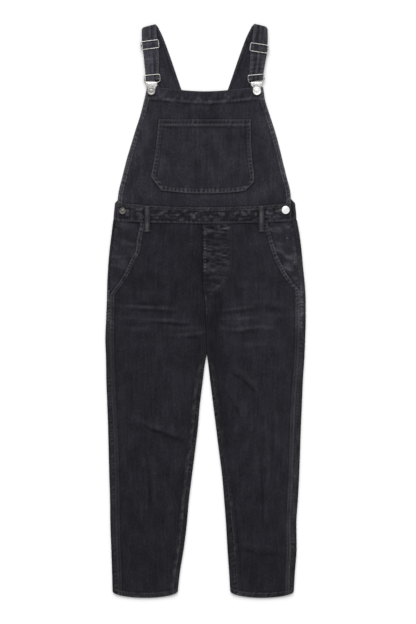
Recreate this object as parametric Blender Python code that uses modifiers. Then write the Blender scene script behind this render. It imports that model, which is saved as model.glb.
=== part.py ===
"""Bib overalls in washed black denim, laid flat on their back with both straps fastened to the bib.

+X is the wearer's left, +Y runs from the hems up to the straps, and +Z is up from the floor.
The origin is on the floor, under the middle of the garment. Sizes are in millimetres until they
reach a mesh, which is in metres.
"""

import math
from collections import namedtuple

import bmesh
import bpy
import numpy as np

MM = 0.001

# Cloth and seams
CLOTH = 1.2  # one ply of denim, with the nap of a washed cloth
DOUBLED = 2.4  # waistbands: two plies and their turned edges
GAP = 0.3  # between neighbouring pieces
RAISE = 0.9  # a turned hem or felled seam stands this far above one ply
RAISE_STEP = 2.0  # and comes down to one ply over this width
SEAM_BAND = 10.0  # width of a felled seam, a pocket edge or a side hem
LEG_HEM = 11.0
BIB_HEM = 29.0
MOUTH_HEM = 15.0

# The lie of the garment
WAIST_Y = 216.0  # front waistband's lower edge at its ends
BAND_HEIGHT = 44.0
BAND_FOOT_DIP, BAND_HEAD_DIP = 6.0, 10.0  # its edges dip towards the middle
BAND_HALF = 208.0  # half its length
BAND_FACE = 6.0  # height of its face
BAND_END_DROP = 0.8  # and how far its ends come down onto the back waistband
BAND_SOFTNESS = 0.7  # its edges are rounded off by this much
CROTCH_Y = -104.0
HEM_Y = -671.0  # hems at the folded edges
HEM_BOW = 17.0  # and how far the front hems bow below that
BACK_HEM_BOW = 12.0
HEM_BOW_FROM = -560.0  # the cloth's rows start to bow here
MEETS_BAND_FROM = 150.0  # and from here up they bend to meet the waistband's foot
FOLD_RADIUS = 3.1  # outer radius of the folded leg edges
SAG = 1.6  # the top layer sinks this far between the folded edges
SAG_REACH = 28.0
BIB_TOP_Y = 538.0
BIB_TOP_DIP = 10.0
BIB_REST = 3.6  # height of the bib's face where it lies over the straps
BIB_AT_WAIST = 4.5
BIB_SIDE_DROP = 2.2  # its sides sink towards the floor
BIB_SIDE_REACH = 32.0
BIB_CORNERS_Y = 500.0  # above this the straps and clips hold the sides up
BIB_WAVE = 0.2
POCKET_FOOT_BOW = 8.5
BACK_BIB_TOP = 400.0
BACK_BIB_HALF_TOP, BACK_BIB_FLARE = 79.0, 95.0
BACK_BAND_TOP = 269.0
BACK_BAND_FOOT = 219.0
BACK_BAND_RIGHT, BACK_BAND_LEFT = -221.0, 218.5  # its ends at its foot
BACK_BAND_TAPER = 3.5
BACK_BAND_CORNER = 8.0

Edge = namedtuple("Edge", "y right left")  # x of the wearer's right and left edge at height y
HIPS_AND_LEGS = (
    Edge(219, -221.5, 219.5),
    Edge(180, -226.5, 226.5),
    Edge(142, -231.0, 231.0),
    Edge(104, -234.0, 234.5),
    Edge(65, -236.0, 238.5),
    Edge(27, -237.0, 240.5),
    Edge(-21, -238.8, 240.6),
    Edge(-69, -240.6, 239.2),
    Edge(-107, -239.2, 237.8),
    Edge(-165, -238.2, 234.0),
    Edge(-223, -236.0, 231.5),
    Edge(-280, -234.0, 229.0),
    Edge(-338, -232.6, 227.0),
    Edge(-395, -231.2, 225.0),
    Edge(-453, -229.4, 221.8),
    Edge(-511, -228.6, 218.2),
    Edge(-568, -226.6, 218.8),
    Edge(-626, -224.6, 214.8),
    Edge(-671, -223.4, 212.0),
)
INSIDE_LEGS = (
    Edge(-104, 2.6, 3.2),
    Edge(-127, -1.6, 6.4),
    Edge(-165, -6.4, 11.0),
    Edge(-223, -13.4, 18.2),
    Edge(-280, -18.4, 25.4),
    Edge(-338, -25.4, 32.6),
    Edge(-395, -32.6, 39.8),
    Edge(-453, -39.8, 44.8),
    Edge(-511, -45.0, 49.2),
    Edge(-568, -52.0, 52.4),
    Edge(-626, -61.4, 56.6),
    Edge(-671, -66.4, 59.4),
)
BIB_SIDES = (
    Edge(540, -140, 138),
    Edge(507, -147, 143),
    Edge(468, -157, 155),
    Edge(430, -169, 167),
    Edge(392, -180, 177),
    Edge(353, -191, 186),
    Edge(315, -200, 195),
    Edge(275, -209, 204),
    Edge(256, -211, 205),
)
POCKET_SIDES = (
    Edge(460, -112, 109),
    Edge(411, -117, 109),
    Edge(363, -123, 112),
    Edge(323, -130, 117),
    Edge(312, -123, 116),
    Edge(291, -106, 94),
)
FLY_EDGE = (
    Edge(212, -7.2, -7.2),
    Edge(60, -6.6, -6.6),
    Edge(30, -2.6, -2.6),
    Edge(-40, 0.6, 0.6),
    Edge(-104, 2.9, 2.9),
)

Seams = namedtuple("Seams", "y side_right side_left inside_right inside_left")
SEAM_DEPTHS = (  # how far each leg seam lies in from its folded edge
    Seams(219, 5, 12, 0, 0),
    Seams(65, 6, 13, 0, 0),
    Seams(-21, 9, 14, 0, 0),
    Seams(-104, 10, 13, 0, 0),
    Seams(-140, 10, 13, 6, 5),
    Seams(-223, 11, 15, 9, 6),
    Seams(-338, 13, 15, 9, 8),
    Seams(-453, 12, 14, 9, 11),
    Seams(-568, 12, 13, 9, 15),
    Seams(-671, 13, 10, 10, 17),
)

Opening = namedtuple("Opening", "y right left")  # x of the slanted front pocket edges
POCKET_OPENINGS = (
    Opening(213, -157, 150),
    Opening(172, -165, 162),
    Opening(146, -168, 169),
    Opening(123, -180, 178),
    Opening(99, -191, 190),
    Opening(75, -204, 205),
    Opening(57, -217, 220),
    Opening(40, -230, 236),
)
UNDER_POCKET_EDGE = 12.0  # the facing runs this far under the pocket edge
FACING_FOOT = 48.0

Crease = namedtuple("Crease", "x0 y0 x1 y1 width height")
CREASES = (  # the largest ridges pressed into the legs, from one end to the other
    Crease(-222, 13, -70, -4, 17, 1.3),
    Crease(-158, -26, -25, -36, 17, 1.2),
    Crease(-90, -56, 4, -50, 16, 1.0),
    Crease(42, -4, 150, 12, 17, 1.3),
    Crease(28, -42, 145, -36, 17, 1.1),
    Crease(-160, -268, -45, -316, 22, 1.5),
    Crease(-146, -325, -132, -480, 20, 1.3),
    Crease(60, -150, 128, -206, 22, 1.3),
    Crease(152, -300, 130, -520, 20, 1.2),
    Crease(60, -566, 190, -582, 20, 1.2),
)

MIDDLE_SPREAD = 0.6  # above the crotch the legs' inner folds run on past the middle at this slope
FLY_WIDTH = 61.0  # x of the fly's curved stitch
FLY_CURVE_FROM = 125.0  # below this it curves in towards the middle
FLY_STITCH_FOOT = 34.0

Strap = namedtuple("Strap", "out_x out_y in_x in_y")  # a line across the strap, outboard to inboard
BACK_OF_STRAP = {
    -1: (
        Strap(BACK_BIB_HALF_TOP, BACK_BIB_TOP + GAP, 8, BACK_BIB_TOP + GAP),
        Strap(99, 470, 33, 470),
        Strap(117, 538, 59, 536),
        Strap(135, 604, 83, 606),
        Strap(147, 645, 101, 655),
        Strap(152, 674, 114, 683.5),
    ),
    1: (
        Strap(BACK_BIB_HALF_TOP, BACK_BIB_TOP + GAP, 8, BACK_BIB_TOP + GAP),
        Strap(98, 470, 30, 470),
        Strap(114, 538, 55, 536),
        Strap(131, 604, 79, 606),
        Strap(142, 645, 97, 655),
        Strap(147, 676, 111, 684.5),
    ),
}
STRAP_AT_BAR = 32.0  # the strap's width where it turns round the clip's bar
FRONT_OF_STRAP = {  # each ends at that bar
    -1: (
        Strap(153, 674, 118, 683.5),
        Strap(152.6, 650, 116.5, 655),
        Strap(150, 626, 113.2, 631),
        Strap(147.5, 602, 111.6, 605),
        Strap(144.5, 572, 112.4, 575),
    ),
    1: (
        Strap(149, 676, 116, 684.5),
        Strap(149.3, 650, 113, 655),
        Strap(147.5, 620, 109, 626),
        Strap(145, 605, 107, 603),
        Strap(139.5, 574, 105.5, 572),
    ),
}
STRAP_PLY = 1.8
STRAP_FOLD = 2.45  # radius of the strap's middle where it turns over at the shoulder
STRAP_FACE = STRAP_PLY / 2 + 2 * STRAP_FOLD  # middle of the front ply
STRAP_RETURN = 3.2  # middle of the ply that comes back up behind it
STRAP_END_TURN = 2.0  # radius of the strap's middle round the clip's bar
BAR_RADIUS = 0.8
WIRE_RADIUS = 1.0

Hardware = namedtuple("Hardware", "x y turn")
SLIDERS = {-1: Hardware(-133.6, 639.0, 7.3), 1: Hardware(128.6, 631.0, -8.3)}
CLIP_LOOPS = {-1: Hardware(-127.8, 556.0, 5.0), 1: Hardware(121.6, 556.0, 4.5)}  # at the bar
PLATES = {-1: Hardware(-130.0, 528.0, -2.0), 1: Hardware(123.4, 528.0, 1.0)}  # at the button
SLIDER_WIDTH, SLIDER_HEIGHT = 42.5, 19.0  # between the middles of the wires
SLIDER_HUMP = 1.4  # the strap rises this far over the slider's middle bar
SLIDER_HUMP_REACH = 9.0
CLIP_WIDTH, CLIP_TOP = 38.0, 10.5  # the loop's wires stand this far out from and above its bar
PLATE = 1.2
PLATE_SHOULDER, PLATE_TOP = 15.5, 22.5  # half width, and height above the button
PLATE_NECK = 10.0
PLATE_RING = 10.8
SLOT_RADIUS = 4.2
BIB_BUTTON_RADIUS = 10.0
WAIST_BUTTONS = {-1: (-199.2, 240.5, 8.3), 1: (192.2, 242.8, 10.4)}  # x, y, radius
SHANK_RADIUS = 3.0
BUTTONHOLE_LENGTH, BUTTONHOLE_WIDTH = 24.0, 8.0
BUTTONHOLE_INSET = 7.0  # from the button's middle to the hole's middle
BELT_LOOPS = {-1: -139.5, 1: 134.5}
LOOP_WIDTH, LOOP_PLY, LOOP_SLACK, LOOP_CROWN = 15.0, 1.6, 0.6, 0.3
LOOP_TOP, LOOP_FOOT = 252.0, 191.0

SIDES = {-1: "right", 1: "left"}  # of the wearer, by the sign of x

Cloth = namedtuple("Cloth", "outer inner")  # two grids of points, the face and the back of a ply


# ---------------------------------------------------------------- curves and heights


def follow(rows, column, y):
    """The column's value at height y: cubics through the rows that never pass a row's value."""
    known = sorted((row.y, getattr(row, column)) for row in rows)
    ys, values = np.array(known).T
    step = np.diff(ys)
    slope = np.diff(values) / step
    turning = slope[:-1] * slope[1:] <= 0
    mean = 2 * slope[:-1] * slope[1:] / np.where(turning, 1, slope[:-1] + slope[1:])
    tangent = np.concatenate(([slope[0]], np.where(turning, 0, mean), [slope[-1]]))
    at = np.clip(np.asarray(y, float), ys[0], ys[-1])
    k = np.clip(np.searchsorted(ys, at) - 1, 0, len(step) - 1)
    t = (at - ys[k]) / step[k]
    return (
        values[k] * (1 + 2 * t) * (1 - t) ** 2
        + tangent[k] * step[k] * t * (1 - t) ** 2
        + values[k + 1] * t**2 * (3 - 2 * t)
        - tangent[k + 1] * step[k] * t**2 * (1 - t)
    )


def ease(start, end, value):
    """0 before start, 1 after end, and a smooth S between them. start may be the larger."""
    t = np.clip((np.asarray(value, float) - start) / (end - start), 0, 1)
    return t * t * (3 - 2 * t)


def crease_height(x, y):
    """Sum of the pressed ridges: a bell across each line, dying away past both its ends."""
    height = np.zeros(np.broadcast(x, y).shape)
    for c in CREASES:
        length = math.hypot(c.x1 - c.x0, c.y1 - c.y0)
        ux, uy = (c.x1 - c.x0) / length, (c.y1 - c.y0) / length
        along = (x - c.x0) * ux + (y - c.y0) * uy
        beside = (x - c.x0) * uy - (y - c.y0) * ux
        past = np.maximum(np.maximum(-along, along - length), 0)
        height += c.height * np.exp(-((beside / (c.width / 2)) ** 2) - (past / c.width) ** 2)
    return height


def arc_to(depth):
    """Distance along the cloth from a fold's outermost line to a point this deep inside it."""
    turn = np.arccos(1 - np.clip(depth / FOLD_RADIUS, 0, 1))
    return FOLD_RADIUS * turn + np.maximum(depth - FOLD_RADIUS, 0)


def tube(distance, y, side):
    """A flattened tube's section at height y: two half circles joined by two flats.

    distance runs along the cloth from the outer fold's outermost line, positive over the top and
    negative under the tube. Returns the face's x and z, the same point's outward direction, and how
    far the top has sunk there. Above the crotch the inner fold lies past the garment's middle.
    """
    radius = FOLD_RADIUS
    outer = follow(HIPS_AND_LEGS, SIDES[side], y)
    inner = inner_fold(y, side)
    flat = np.abs(outer - inner) - 2 * radius
    quarter = math.pi * radius / 2
    half = flat + 2 * quarter
    distance = np.mod(distance + half, 2 * half) - half
    run = np.abs(distance)
    first = np.clip(run / quarter, 0, 1) * math.pi / 2
    last = np.clip((run - quarter - flat) / quarter, 0, 1) * math.pi / 2
    depth = radius * (1 - np.cos(first)) + np.clip(run - quarter, 0, flat) + radius * np.sin(last)
    over = np.where(distance < 0, -1.0, 1.0)
    lift = np.where(run < quarter, np.sin(first), np.cos(last))
    out = np.where(run < quarter, np.cos(first), -np.sin(last))
    sunk = 1 - np.exp(-((depth / SAG_REACH) ** 2))
    sunk = sunk * (1 - np.exp(-(((flat + 2 * radius - depth) / SAG_REACH) ** 2)))
    sunk = np.where(distance > 0, sunk, 0)
    return outer - side * depth, radius * (1 + over * lift), side * out, over * lift, sunk


def inner_fold(y, side):
    """x of a leg's inner fold, carried on past the garment's middle above the crotch."""
    above = np.maximum(y - CROTCH_Y, 0)
    return follow(INSIDE_LEGS, SIDES[side], y) - side * above * MIDDLE_SPREAD


def middle_depth(y, side):
    """Above the crotch, how far inside that fold the middle seam lies."""
    return np.maximum(side * (follow(FLY_EDGE, "left", y) - inner_fold(y, side)), 0)


def seam_distances(y, side):
    """Distances round a leg's tube to its side seam and to its inner or middle seam."""
    outer = follow(HIPS_AND_LEGS, SIDES[side], y)
    half = np.abs(outer - inner_fold(y, side)) + (math.pi - 2) * FOLD_RADIUS
    side_seam = arc_to(follow(SEAM_DEPTHS, "side_" + SIDES[side], y))
    inside = follow(SEAM_DEPTHS, "inside_" + SIDES[side], y)
    inner_seam = arc_to(np.where(y < CROTCH_Y, inside, middle_depth(y, side)))
    return side_seam, inner_seam, half


def band(from_edge):
    """The extra height of a seam or turned edge: RAISE close to the edge, 0 past the seam's width."""
    return RAISE * ease(SEAM_BAND + RAISE_STEP, SEAM_BAND, from_edge)


def fly_height(x, y):
    """The plies under the curved fly stitch raise the wearer's left front by RAISE."""
    reach = np.clip((FLY_CURVE_FROM - y) / (FLY_CURVE_FROM - FLY_STITCH_FOOT), 0, 1)
    stitch = FLY_WIDTH * np.sqrt(1 - reach**2)
    inside = ease(FLY_STITCH_FOOT - 10, FLY_STITCH_FOOT + 8, y)
    return RAISE * ease(stitch + 8, stitch - 4, x) * inside


def bib_face(x, y):
    """Height of the bib's face: level over the straps, higher at the waist, lower at its sides."""
    edge = np.minimum(x - follow(BIB_SIDES, "right", y), follow(BIB_SIDES, "left", y) - x)
    loose = ease(BIB_CORNERS_Y, BIB_CORNERS_Y - 40, y) * ease(BACK_BAND_TOP, BACK_BAND_TOP + 30, y)
    drop = BIB_SIDE_DROP * ease(BIB_SIDE_REACH, 0, edge) * loose
    wave = BIB_WAVE * (1 + np.sin(x / 46) * np.cos(y / 60))
    wave = wave * ease(0, 60, edge) * ease(BIB_HEM, BIB_HEM + 50, BIB_TOP_Y - y)
    rise = (BIB_AT_WAIST - BIB_REST) * ease(WAIST_Y + 124, WAIST_Y + BAND_HEIGHT, y)
    return BIB_REST + rise - drop + wave


def band_face(x):
    """Height of the front waistband's face: its ends come down onto the back waistband."""
    return BAND_FACE - BAND_END_DROP * ease(BAND_HALF - 58, BAND_HALF - 3, np.abs(x))


def dip(x, half):
    """1 in the middle, falling as a parabola to 0 at half to either side."""
    return 1 - np.clip(np.abs(x) / half, 0, 1) ** 2


def band_foot(x):
    return WAIST_Y - BAND_FOOT_DIP * dip(x, BAND_HALF)


def band_head(x):
    return WAIST_Y + BAND_HEIGHT - BAND_HEAD_DIP * dip(x, BAND_HALF)


# ---------------------------------------------------------------- meshes


def material(name, color, roughness, metallic=0.0):
    made = bpy.data.materials.new(name)
    made.use_nodes = True
    shader = made.node_tree.nodes["Principled BSDF"]
    shader.inputs["Base Color"].default_value = (*color, 1.0)
    shader.inputs["Roughness"].default_value = roughness
    shader.inputs["Metallic"].default_value = metallic
    return made


def add(name, mesh, finish):
    """A named object in the garment's collection."""
    made = bpy.data.objects.new(name, mesh)
    mesh.materials.append(finish)
    overalls.objects.link(made)
    return made


def wall(name, cloth, finish):
    """A closed wall between a grid of face points and the matching grid of back points."""
    rows, columns = cloth.outer.shape[:2]
    points = np.concatenate((cloth.outer.reshape(-1, 3), cloth.inner.reshape(-1, 3))) * MM
    index = np.arange(rows * columns).reshape(rows, columns)
    face = np.stack((index[:-1, :-1], index[:-1, 1:], index[1:, 1:], index[1:, :-1]), -1)
    rim = np.concatenate((index[0, :], index[1:, -1], index[-1, -2::-1], index[-2:0:-1, 0]))
    onward = np.roll(rim, -1)
    back = rows * columns
    edge = np.stack((rim, rim + back, onward + back, onward), -1)
    faces = np.concatenate((face.reshape(-1, 4), face.reshape(-1, 4)[:, ::-1] + back, edge))
    mesh = bpy.data.meshes.new(name)
    mesh.from_pydata(points.tolist(), [], faces.tolist())
    shell = bmesh.new()
    shell.from_mesh(mesh)
    bmesh.ops.recalc_face_normals(shell, faces=shell.faces)
    shell.to_mesh(mesh)
    shell.free()
    mesh.shade_smooth()
    mesh.set_sharp_from_angle(angle=math.radians(50))
    return add(name, mesh, finish)


def grid(x, y, z):
    """Points of shape (rows, columns, 3) from three arrays that broadcast together."""
    return np.stack(np.broadcast_arrays(x, y, z), -1).astype(float)


def meshed(source):
    """The object's evaluated shape as a plain mesh object, with a curve's caps welded."""
    bpy.context.view_layer.update()
    evaluated = source.evaluated_get(bpy.context.evaluated_depsgraph_get())
    mesh = bpy.data.meshes.new_from_object(evaluated)
    shell = bmesh.new()
    shell.from_mesh(mesh)
    bmesh.ops.remove_doubles(shell, verts=shell.verts, dist=1e-6)
    bmesh.ops.recalc_face_normals(shell, faces=shell.faces)
    shell.to_mesh(mesh)
    shell.free()
    made = bpy.data.objects.new(source.name + "_mesh", mesh)
    made.matrix_world = source.matrix_world.copy()
    overalls.objects.link(made)
    bpy.data.objects.remove(source)
    return made


def wire(points, radius, closed=False):
    """A bent wire: a poly curve through the points with a round bevel."""
    curve = bpy.data.curves.new("wire", "CURVE")
    curve.dimensions = "3D"
    curve.bevel_depth = radius * MM
    curve.bevel_resolution = 2
    curve.use_fill_caps = True
    line = curve.splines.new("POLY")
    line.points.add(len(points) - 1)
    for point, place in zip(line.points, points):
        point.co = (*(np.array(place) * MM), 1.0)
    line.use_cyclic_u = closed
    made = bpy.data.objects.new("wire", curve)
    overalls.objects.link(made)
    return meshed(made)


def joined(name, first, others, finish, operation="UNION"):
    """The first solid with the others joined to it or cut from it, as one named object."""
    for other in others:
        change = first.modifiers.new("join", "BOOLEAN")
        change.operation = operation
        change.solver = "EXACT"
        change.object = other
    made = meshed(first)
    for other in others:
        bpy.data.objects.remove(other)
    made.name = name
    made.data.materials.clear()
    made.data.materials.append(finish)
    return made


def turned(name, profile, place, finish, steps=16):
    """A button: a profile of (radius, height) from its crown's middle down to its foot, turned once."""
    mesh = bpy.data.meshes.new(name)
    points = [(radius * MM, 0.0, height * MM) for radius, height in profile]
    mesh.from_pydata(points, [(i, i + 1) for i in range(len(points) - 1)], [])
    made = add(name, mesh, finish)
    made.location = [value * MM for value in place]
    turn = made.modifiers.new("turn", "SCREW")
    turn.steps = turn.render_steps = steps
    turn.use_merge_vertices = True
    turn.merge_threshold = 1e-5
    turn.use_smooth_shade = True
    return made


# ---------------------------------------------------------------- legs


def leg_rows(skip=1):
    """Heights of the rows down a leg. The rows at the hips, one in skip of them, are the closest."""
    hips = np.linspace(206, -90, 21)[::skip]
    crotch = np.array([-99.0, CROTCH_Y, -109.0, -117.0, -127.0, -140.0])
    legs = np.linspace(-166, -640, 17)
    hem = np.array([HEM_Y + LEG_HEM + RAISE_STEP, HEM_Y + LEG_HEM, HEM_Y])
    return np.concatenate(([BACK_BAND_FOOT - GAP], hips, crotch, legs, hem))


def hemmed(start, end, spans):
    """Columns from start to end: one at each side of both raised edges, and even ones between."""
    edge = np.array([0, SEAM_BAND, SEAM_BAND + RAISE_STEP])[None, :]
    near, far = start + edge, end - edge[:, ::-1]
    between = near[:, -1:] + (far[:, :1] - near[:, -1:]) * np.linspace(0, 1, spans - 3)[None, 1:-1]
    return np.concatenate((near, between, far), 1)


def hem_bow(base, part, bow):
    """The rows near the hem bow down as half an ellipse; part runs from -1 to 1 across the leg."""
    return -bow * ease(HEM_BOW_FROM, HEM_Y, base) * np.sqrt(np.clip(1 - part**2, 0, 1))


def front_leg(side):
    """A front panel, from the pocket edge or the side seam to the fly, middle seam or inseam."""
    base = leg_rows()
    side_seam, inner_seam, half = seam_distances(base, side)
    outer_x = follow(HIPS_AND_LEGS, SIDES[side], base)
    opening = arc_to(np.abs(outer_x - follow(POCKET_OPENINGS, SIDES[side], base)))
    at_pocket = base > POCKET_OPENINGS[-1].y - 2
    start = np.maximum(side_seam, np.where(at_pocket, opening, 0)) + GAP / 2
    end = half - inner_seam - GAP / 2
    distance = hemmed(start[:, None], end[:, None], 12)
    y = base[:, None]
    x, z, out, up, sunk = tube(distance, y, side)
    inside = follow(INSIDE_LEGS, SIDES[side], y)
    part = 2 * (x - inside) / (outer_x[:, None] - inside) - 1
    lowered = y + hem_bow(y, np.where(y < CROTCH_Y, part, 0), HEM_BOW)
    lowered = lowered - (BACK_BAND_FOOT - band_foot(x)) * ease(MEETS_BAND_FROM, base[0], y)
    z = z - SAG * sunk + crease_height(x, y) * sunk
    seams = band(end[:, None] - distance)
    if side < 0:
        seams = seams * ease(FLY_STITCH_FOOT + 10, FLY_STITCH_FOOT - 10, y)
    else:
        seams = np.maximum(seams, fly_height(x, y))
    raised = np.maximum(seams, band(distance - start[:, None]))
    raised = np.maximum(raised, RAISE * ease(LEG_HEM + RAISE_STEP, LEG_HEM, y - HEM_Y))
    return Cloth(grid(x, lowered, z + raised), grid(x - out * CLOTH, lowered, z - up * CLOTH))


def back_leg(side):
    """A back panel: it lies on the floor and turns up round the folds to the seams on the front."""
    base = leg_rows(skip=2)
    side_seam, inner_seam, half = seam_distances(base, side)
    quarter = math.pi * FOLD_RADIUS / 2
    flange = side_seam[:, None] - GAP / 2
    outer_turn = np.tile(quarter * np.array([1, 0.5, 0, -0.5, -1]), (len(base), 1))
    below = base < CROTCH_Y
    end = np.where(below, -(half + inner_seam), -(half - inner_seam)) + GAP / 2
    turn_at = np.maximum(-(half - quarter), end + 1.0)
    floor = -quarter + (turn_at + quarter)[:, None] * np.linspace(0, 1, 4)[1:]
    inner_turn = turn_at[:, None] + (end - turn_at)[:, None] * np.linspace(0, 1, 7)[1:]
    distance = np.concatenate((flange, outer_turn, floor, inner_turn), 1)
    y = base[:, None]
    x, z, out, up, sunk = tube(distance, y, side)
    on_top = up > 0
    inside = follow(INSIDE_LEGS, SIDES[side], y)
    part = 2 * (x - inside) / (follow(HIPS_AND_LEGS, SIDES[side], y) - inside) - 1
    bow = np.where(on_top, HEM_BOW, BACK_HEM_BOW)
    lowered = y + hem_bow(y, np.where(y < CROTCH_Y, part, 0), bow)
    z = z - SAG * sunk
    return Cloth(grid(x, lowered, z), grid(x - out * CLOTH, lowered, z - up * CLOTH))


def pocket_facing(side):
    """The denim inside a slanted pocket, a ply below the front panel, from its edge to the side seam."""
    base = np.linspace(BACK_BAND_FOOT - GAP, FACING_FOOT, 13)
    side_seam, _, _ = seam_distances(base, side)
    outer_x = follow(HIPS_AND_LEGS, SIDES[side], base)
    opening = arc_to(np.abs(outer_x - follow(POCKET_OPENINGS, SIDES[side], base)))
    start = side_seam + GAP / 2
    end = np.maximum(opening, start) + UNDER_POCKET_EDGE
    distance = start[:, None] + (end - start)[:, None] * np.linspace(0, 1, 6)
    y = base[:, None]
    x, z, _, _, sunk = tube(distance, y, side)
    lowered = y - (BACK_BAND_FOOT - band_foot(x)) * ease(MEETS_BAND_FROM, base[0], y)
    z = z - SAG * sunk + crease_height(x, y) * sunk - CLOTH - GAP
    return Cloth(grid(x, lowered, z), grid(x, lowered, z - CLOTH))


# ---------------------------------------------------------------- waist and bib


def front_waistband():
    """The doubled front band, with a slot for the shank of each side button."""
    ends = (BIB_SIDES[-1].right - 0.5, BIB_SIDES[-1].left + 0.5)
    x = np.linspace(*ends, 23)[None, :]
    part = np.array([0, 0.07, 0.5, 0.93, 1])[:, None]
    y = band_foot(x) + (band_head(x) - band_foot(x)) * part
    face = band_face(x) - BAND_SOFTNESS * (np.abs(part - 0.5) == 0.5)
    cloth = Cloth(grid(x, y, face), grid(x, y, band_face(x) - DOUBLED))
    made = wall("front_waistband", cloth, denim)
    slots = []
    for side, (button_x, button_y, _) in WAIST_BUTTONS.items():
        middle = (button_x - side * BUTTONHOLE_INSET, button_y, BAND_FACE)
        bpy.ops.mesh.primitive_cube_add(size=1, location=[value * MM for value in middle])
        slot = bpy.context.object
        slot.scale = (BUTTONHOLE_LENGTH * MM, BUTTONHOLE_WIDTH * MM, 2 * BAND_FACE * MM)
        slots.append(slot)
    return joined("front_waistband", made, slots, denim, "DIFFERENCE")


def back_waistband():
    """The doubled back band on the floor: wider than the front one, with rounded top corners."""
    y = BACK_BAND_TOP - np.array([BACK_BAND_TOP - BACK_BAND_FOOT, 37, 19, 10, 4, 0])[:, None]
    corner = BACK_BAND_CORNER * ease(BACK_BAND_TOP - 14, BACK_BAND_TOP, y) ** 2
    inset = corner + BACK_BAND_TAPER * ease(BACK_BAND_FOOT, BACK_BAND_TOP, y)
    right, left = BACK_BAND_RIGHT + inset, BACK_BAND_LEFT - inset
    x = right + (left - right) * np.linspace(0, 1, 5)[None, :]
    return Cloth(grid(x, y, DOUBLED), grid(x, y, 0.0))


def front_bib():
    """The bib: a deep top hem, turned hems down its slanted sides, and a gentle dip along its top."""
    rows = np.concatenate((np.linspace(0, 0.87, 14), [0.895, 0.903, 1]))[:, None]
    guide = band_head(0) + (BIB_TOP_Y - band_head(0)) * rows
    right, left = follow(BIB_SIDES, "right", guide), follow(BIB_SIDES, "left", guide)
    x = hemmed(right, left, 14)
    top = BIB_TOP_Y - BIB_TOP_DIP * dip(2 * (x - right) / (left - right) - 1, 1) ** 2
    low = band_head(x) + GAP
    y = low + (top - low) * rows
    face = bib_face(x, y)
    raised = band(np.minimum(x - right, left - x))
    raised = np.maximum(raised, RAISE * ease(BIB_HEM + RAISE_STEP, BIB_HEM, top - y))
    return Cloth(grid(x, y, face + raised), grid(x, y, face - CLOTH))


def bib_pocket():
    """The patch pocket: made from the bib's own face, moved out, with turned edges and a mouth hem."""
    mouth, foot = POCKET_SIDES[0].y, POCKET_SIDES[-1].y
    below_mouth = mouth - np.array([0, MOUTH_HEM, MOUTH_HEM + RAISE_STEP])
    above_foot = foot + np.array([35, 24, SEAM_BAND + RAISE_STEP, SEAM_BAND, 0])
    rows = np.concatenate((below_mouth, np.linspace(mouth - 30, foot + 52, 7), above_foot))
    guide = rows[:, None]
    right, left = follow(POCKET_SIDES, "right", guide), follow(POCKET_SIDES, "left", guide)
    x = hemmed(right, left, 12)
    y = guide - POCKET_FOOT_BOW * dip(x, -POCKET_SIDES[0].right) * ease(foot + 70, foot, guide)
    low = bib_face(x, y) + GAP
    raised = band(np.minimum(x - right, left - x))
    raised = np.maximum(raised, RAISE * ease(MOUTH_HEM + RAISE_STEP, MOUTH_HEM, mouth - guide))
    raised = np.maximum(raised, band(guide - foot))
    return Cloth(grid(x, y, low + CLOTH + raised), grid(x, y, low))


def back_bib():
    """The hidden back bib on the floor, from the back waistband up to the feet of the straps."""
    y = np.linspace(BACK_BAND_TOP + GAP, BACK_BIB_TOP, 6)[:, None]
    half_width = BACK_BIB_HALF_TOP + BACK_BIB_FLARE * ease(BACK_BIB_TOP, WAIST_Y, y)
    x = half_width * np.linspace(-1, 1, 5)[None, :]
    return Cloth(grid(x, y, CLOTH), grid(x, y, 0.0))


def belt_loop(side):
    """A narrow doubled strip: sewn at the band's top, over the band, and down to the leg below it."""
    below_band = WAIST_Y - BAND_FOOT_DIP
    y = np.array([LOOP_TOP, 248, 240, 225, 214, 208, 203, 197, LOOP_FOOT])[:, None]
    x = BELT_LOOPS[side] + LOOP_WIDTH * np.array([-0.5, -0.3, 0.3, 0.5])[None, :]
    on_band = band_face(x) + GAP
    on_leg = 2 * FOLD_RADIUS - SAG + RAISE + GAP
    low = on_leg + (on_band + LOOP_SLACK - on_leg) * ease(below_band - 11, below_band + 1, y)
    low = low - LOOP_SLACK * ease(WAIST_Y + 9, WAIST_Y + 24, y)
    crown = LOOP_CROWN * np.array([0, 1, 1, 0])[None, :]
    return Cloth(grid(x, y, low + LOOP_PLY + crown), grid(x, y, low))


# ---------------------------------------------------------------- straps and hardware


def strap_lines(rows, count):
    """Lines across the strap, along smooth curves through the table's rows."""
    table = np.array(rows, float)
    at = np.linspace(0, len(table) - 1, count)
    k = np.clip(at.astype(int), 0, len(table) - 2)
    t = (at - k)[:, None]
    tangent = np.gradient(table, axis=0)
    return (
        table[k] * (1 + 2 * t) * (1 - t) ** 2
        + tangent[k] * t * (1 - t) ** 2
        + table[k + 1] * t**2 * (3 - 2 * t)
        - tangent[k + 1] * t**2 * (1 - t)
    )


def ends_of(lines, height, side):
    """The two ends of each line across the strap, as points of shape (lines, 2, 3)."""
    out = grid(side * lines[:, 0], lines[:, 1], height)
    inboard = grid(side * lines[:, 2], lines[:, 3], height)
    return np.stack((out, inboard), 1)


def turn(first, last, radius, steps, towards):
    """Lines carried round half a turn, from the lower or upper line to the other one.

    The turn's middle stands off both lines by its radius, along the level direction at right
    angles to the line, towards +Y for 1 and -Y for -1.
    """
    angle = np.linspace(0, math.pi, steps + 2)[1:-1, None, None]
    part = angle / math.pi
    line = first[0] - first[1]
    level = np.array([line[1], -line[0], 0]) / np.hypot(line[0], line[1])
    level = level * towards * np.sign(level[1])
    between = first[None] * (1 - part) + last[None] * part
    height = (first[0, 2] + last[0, 2]) / 2 + (first[0, 2] - last[0, 2]) / 2 * np.cos(angle)
    between[..., 2] = height[..., 0]
    return between + level * radius * np.sin(angle)


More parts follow.
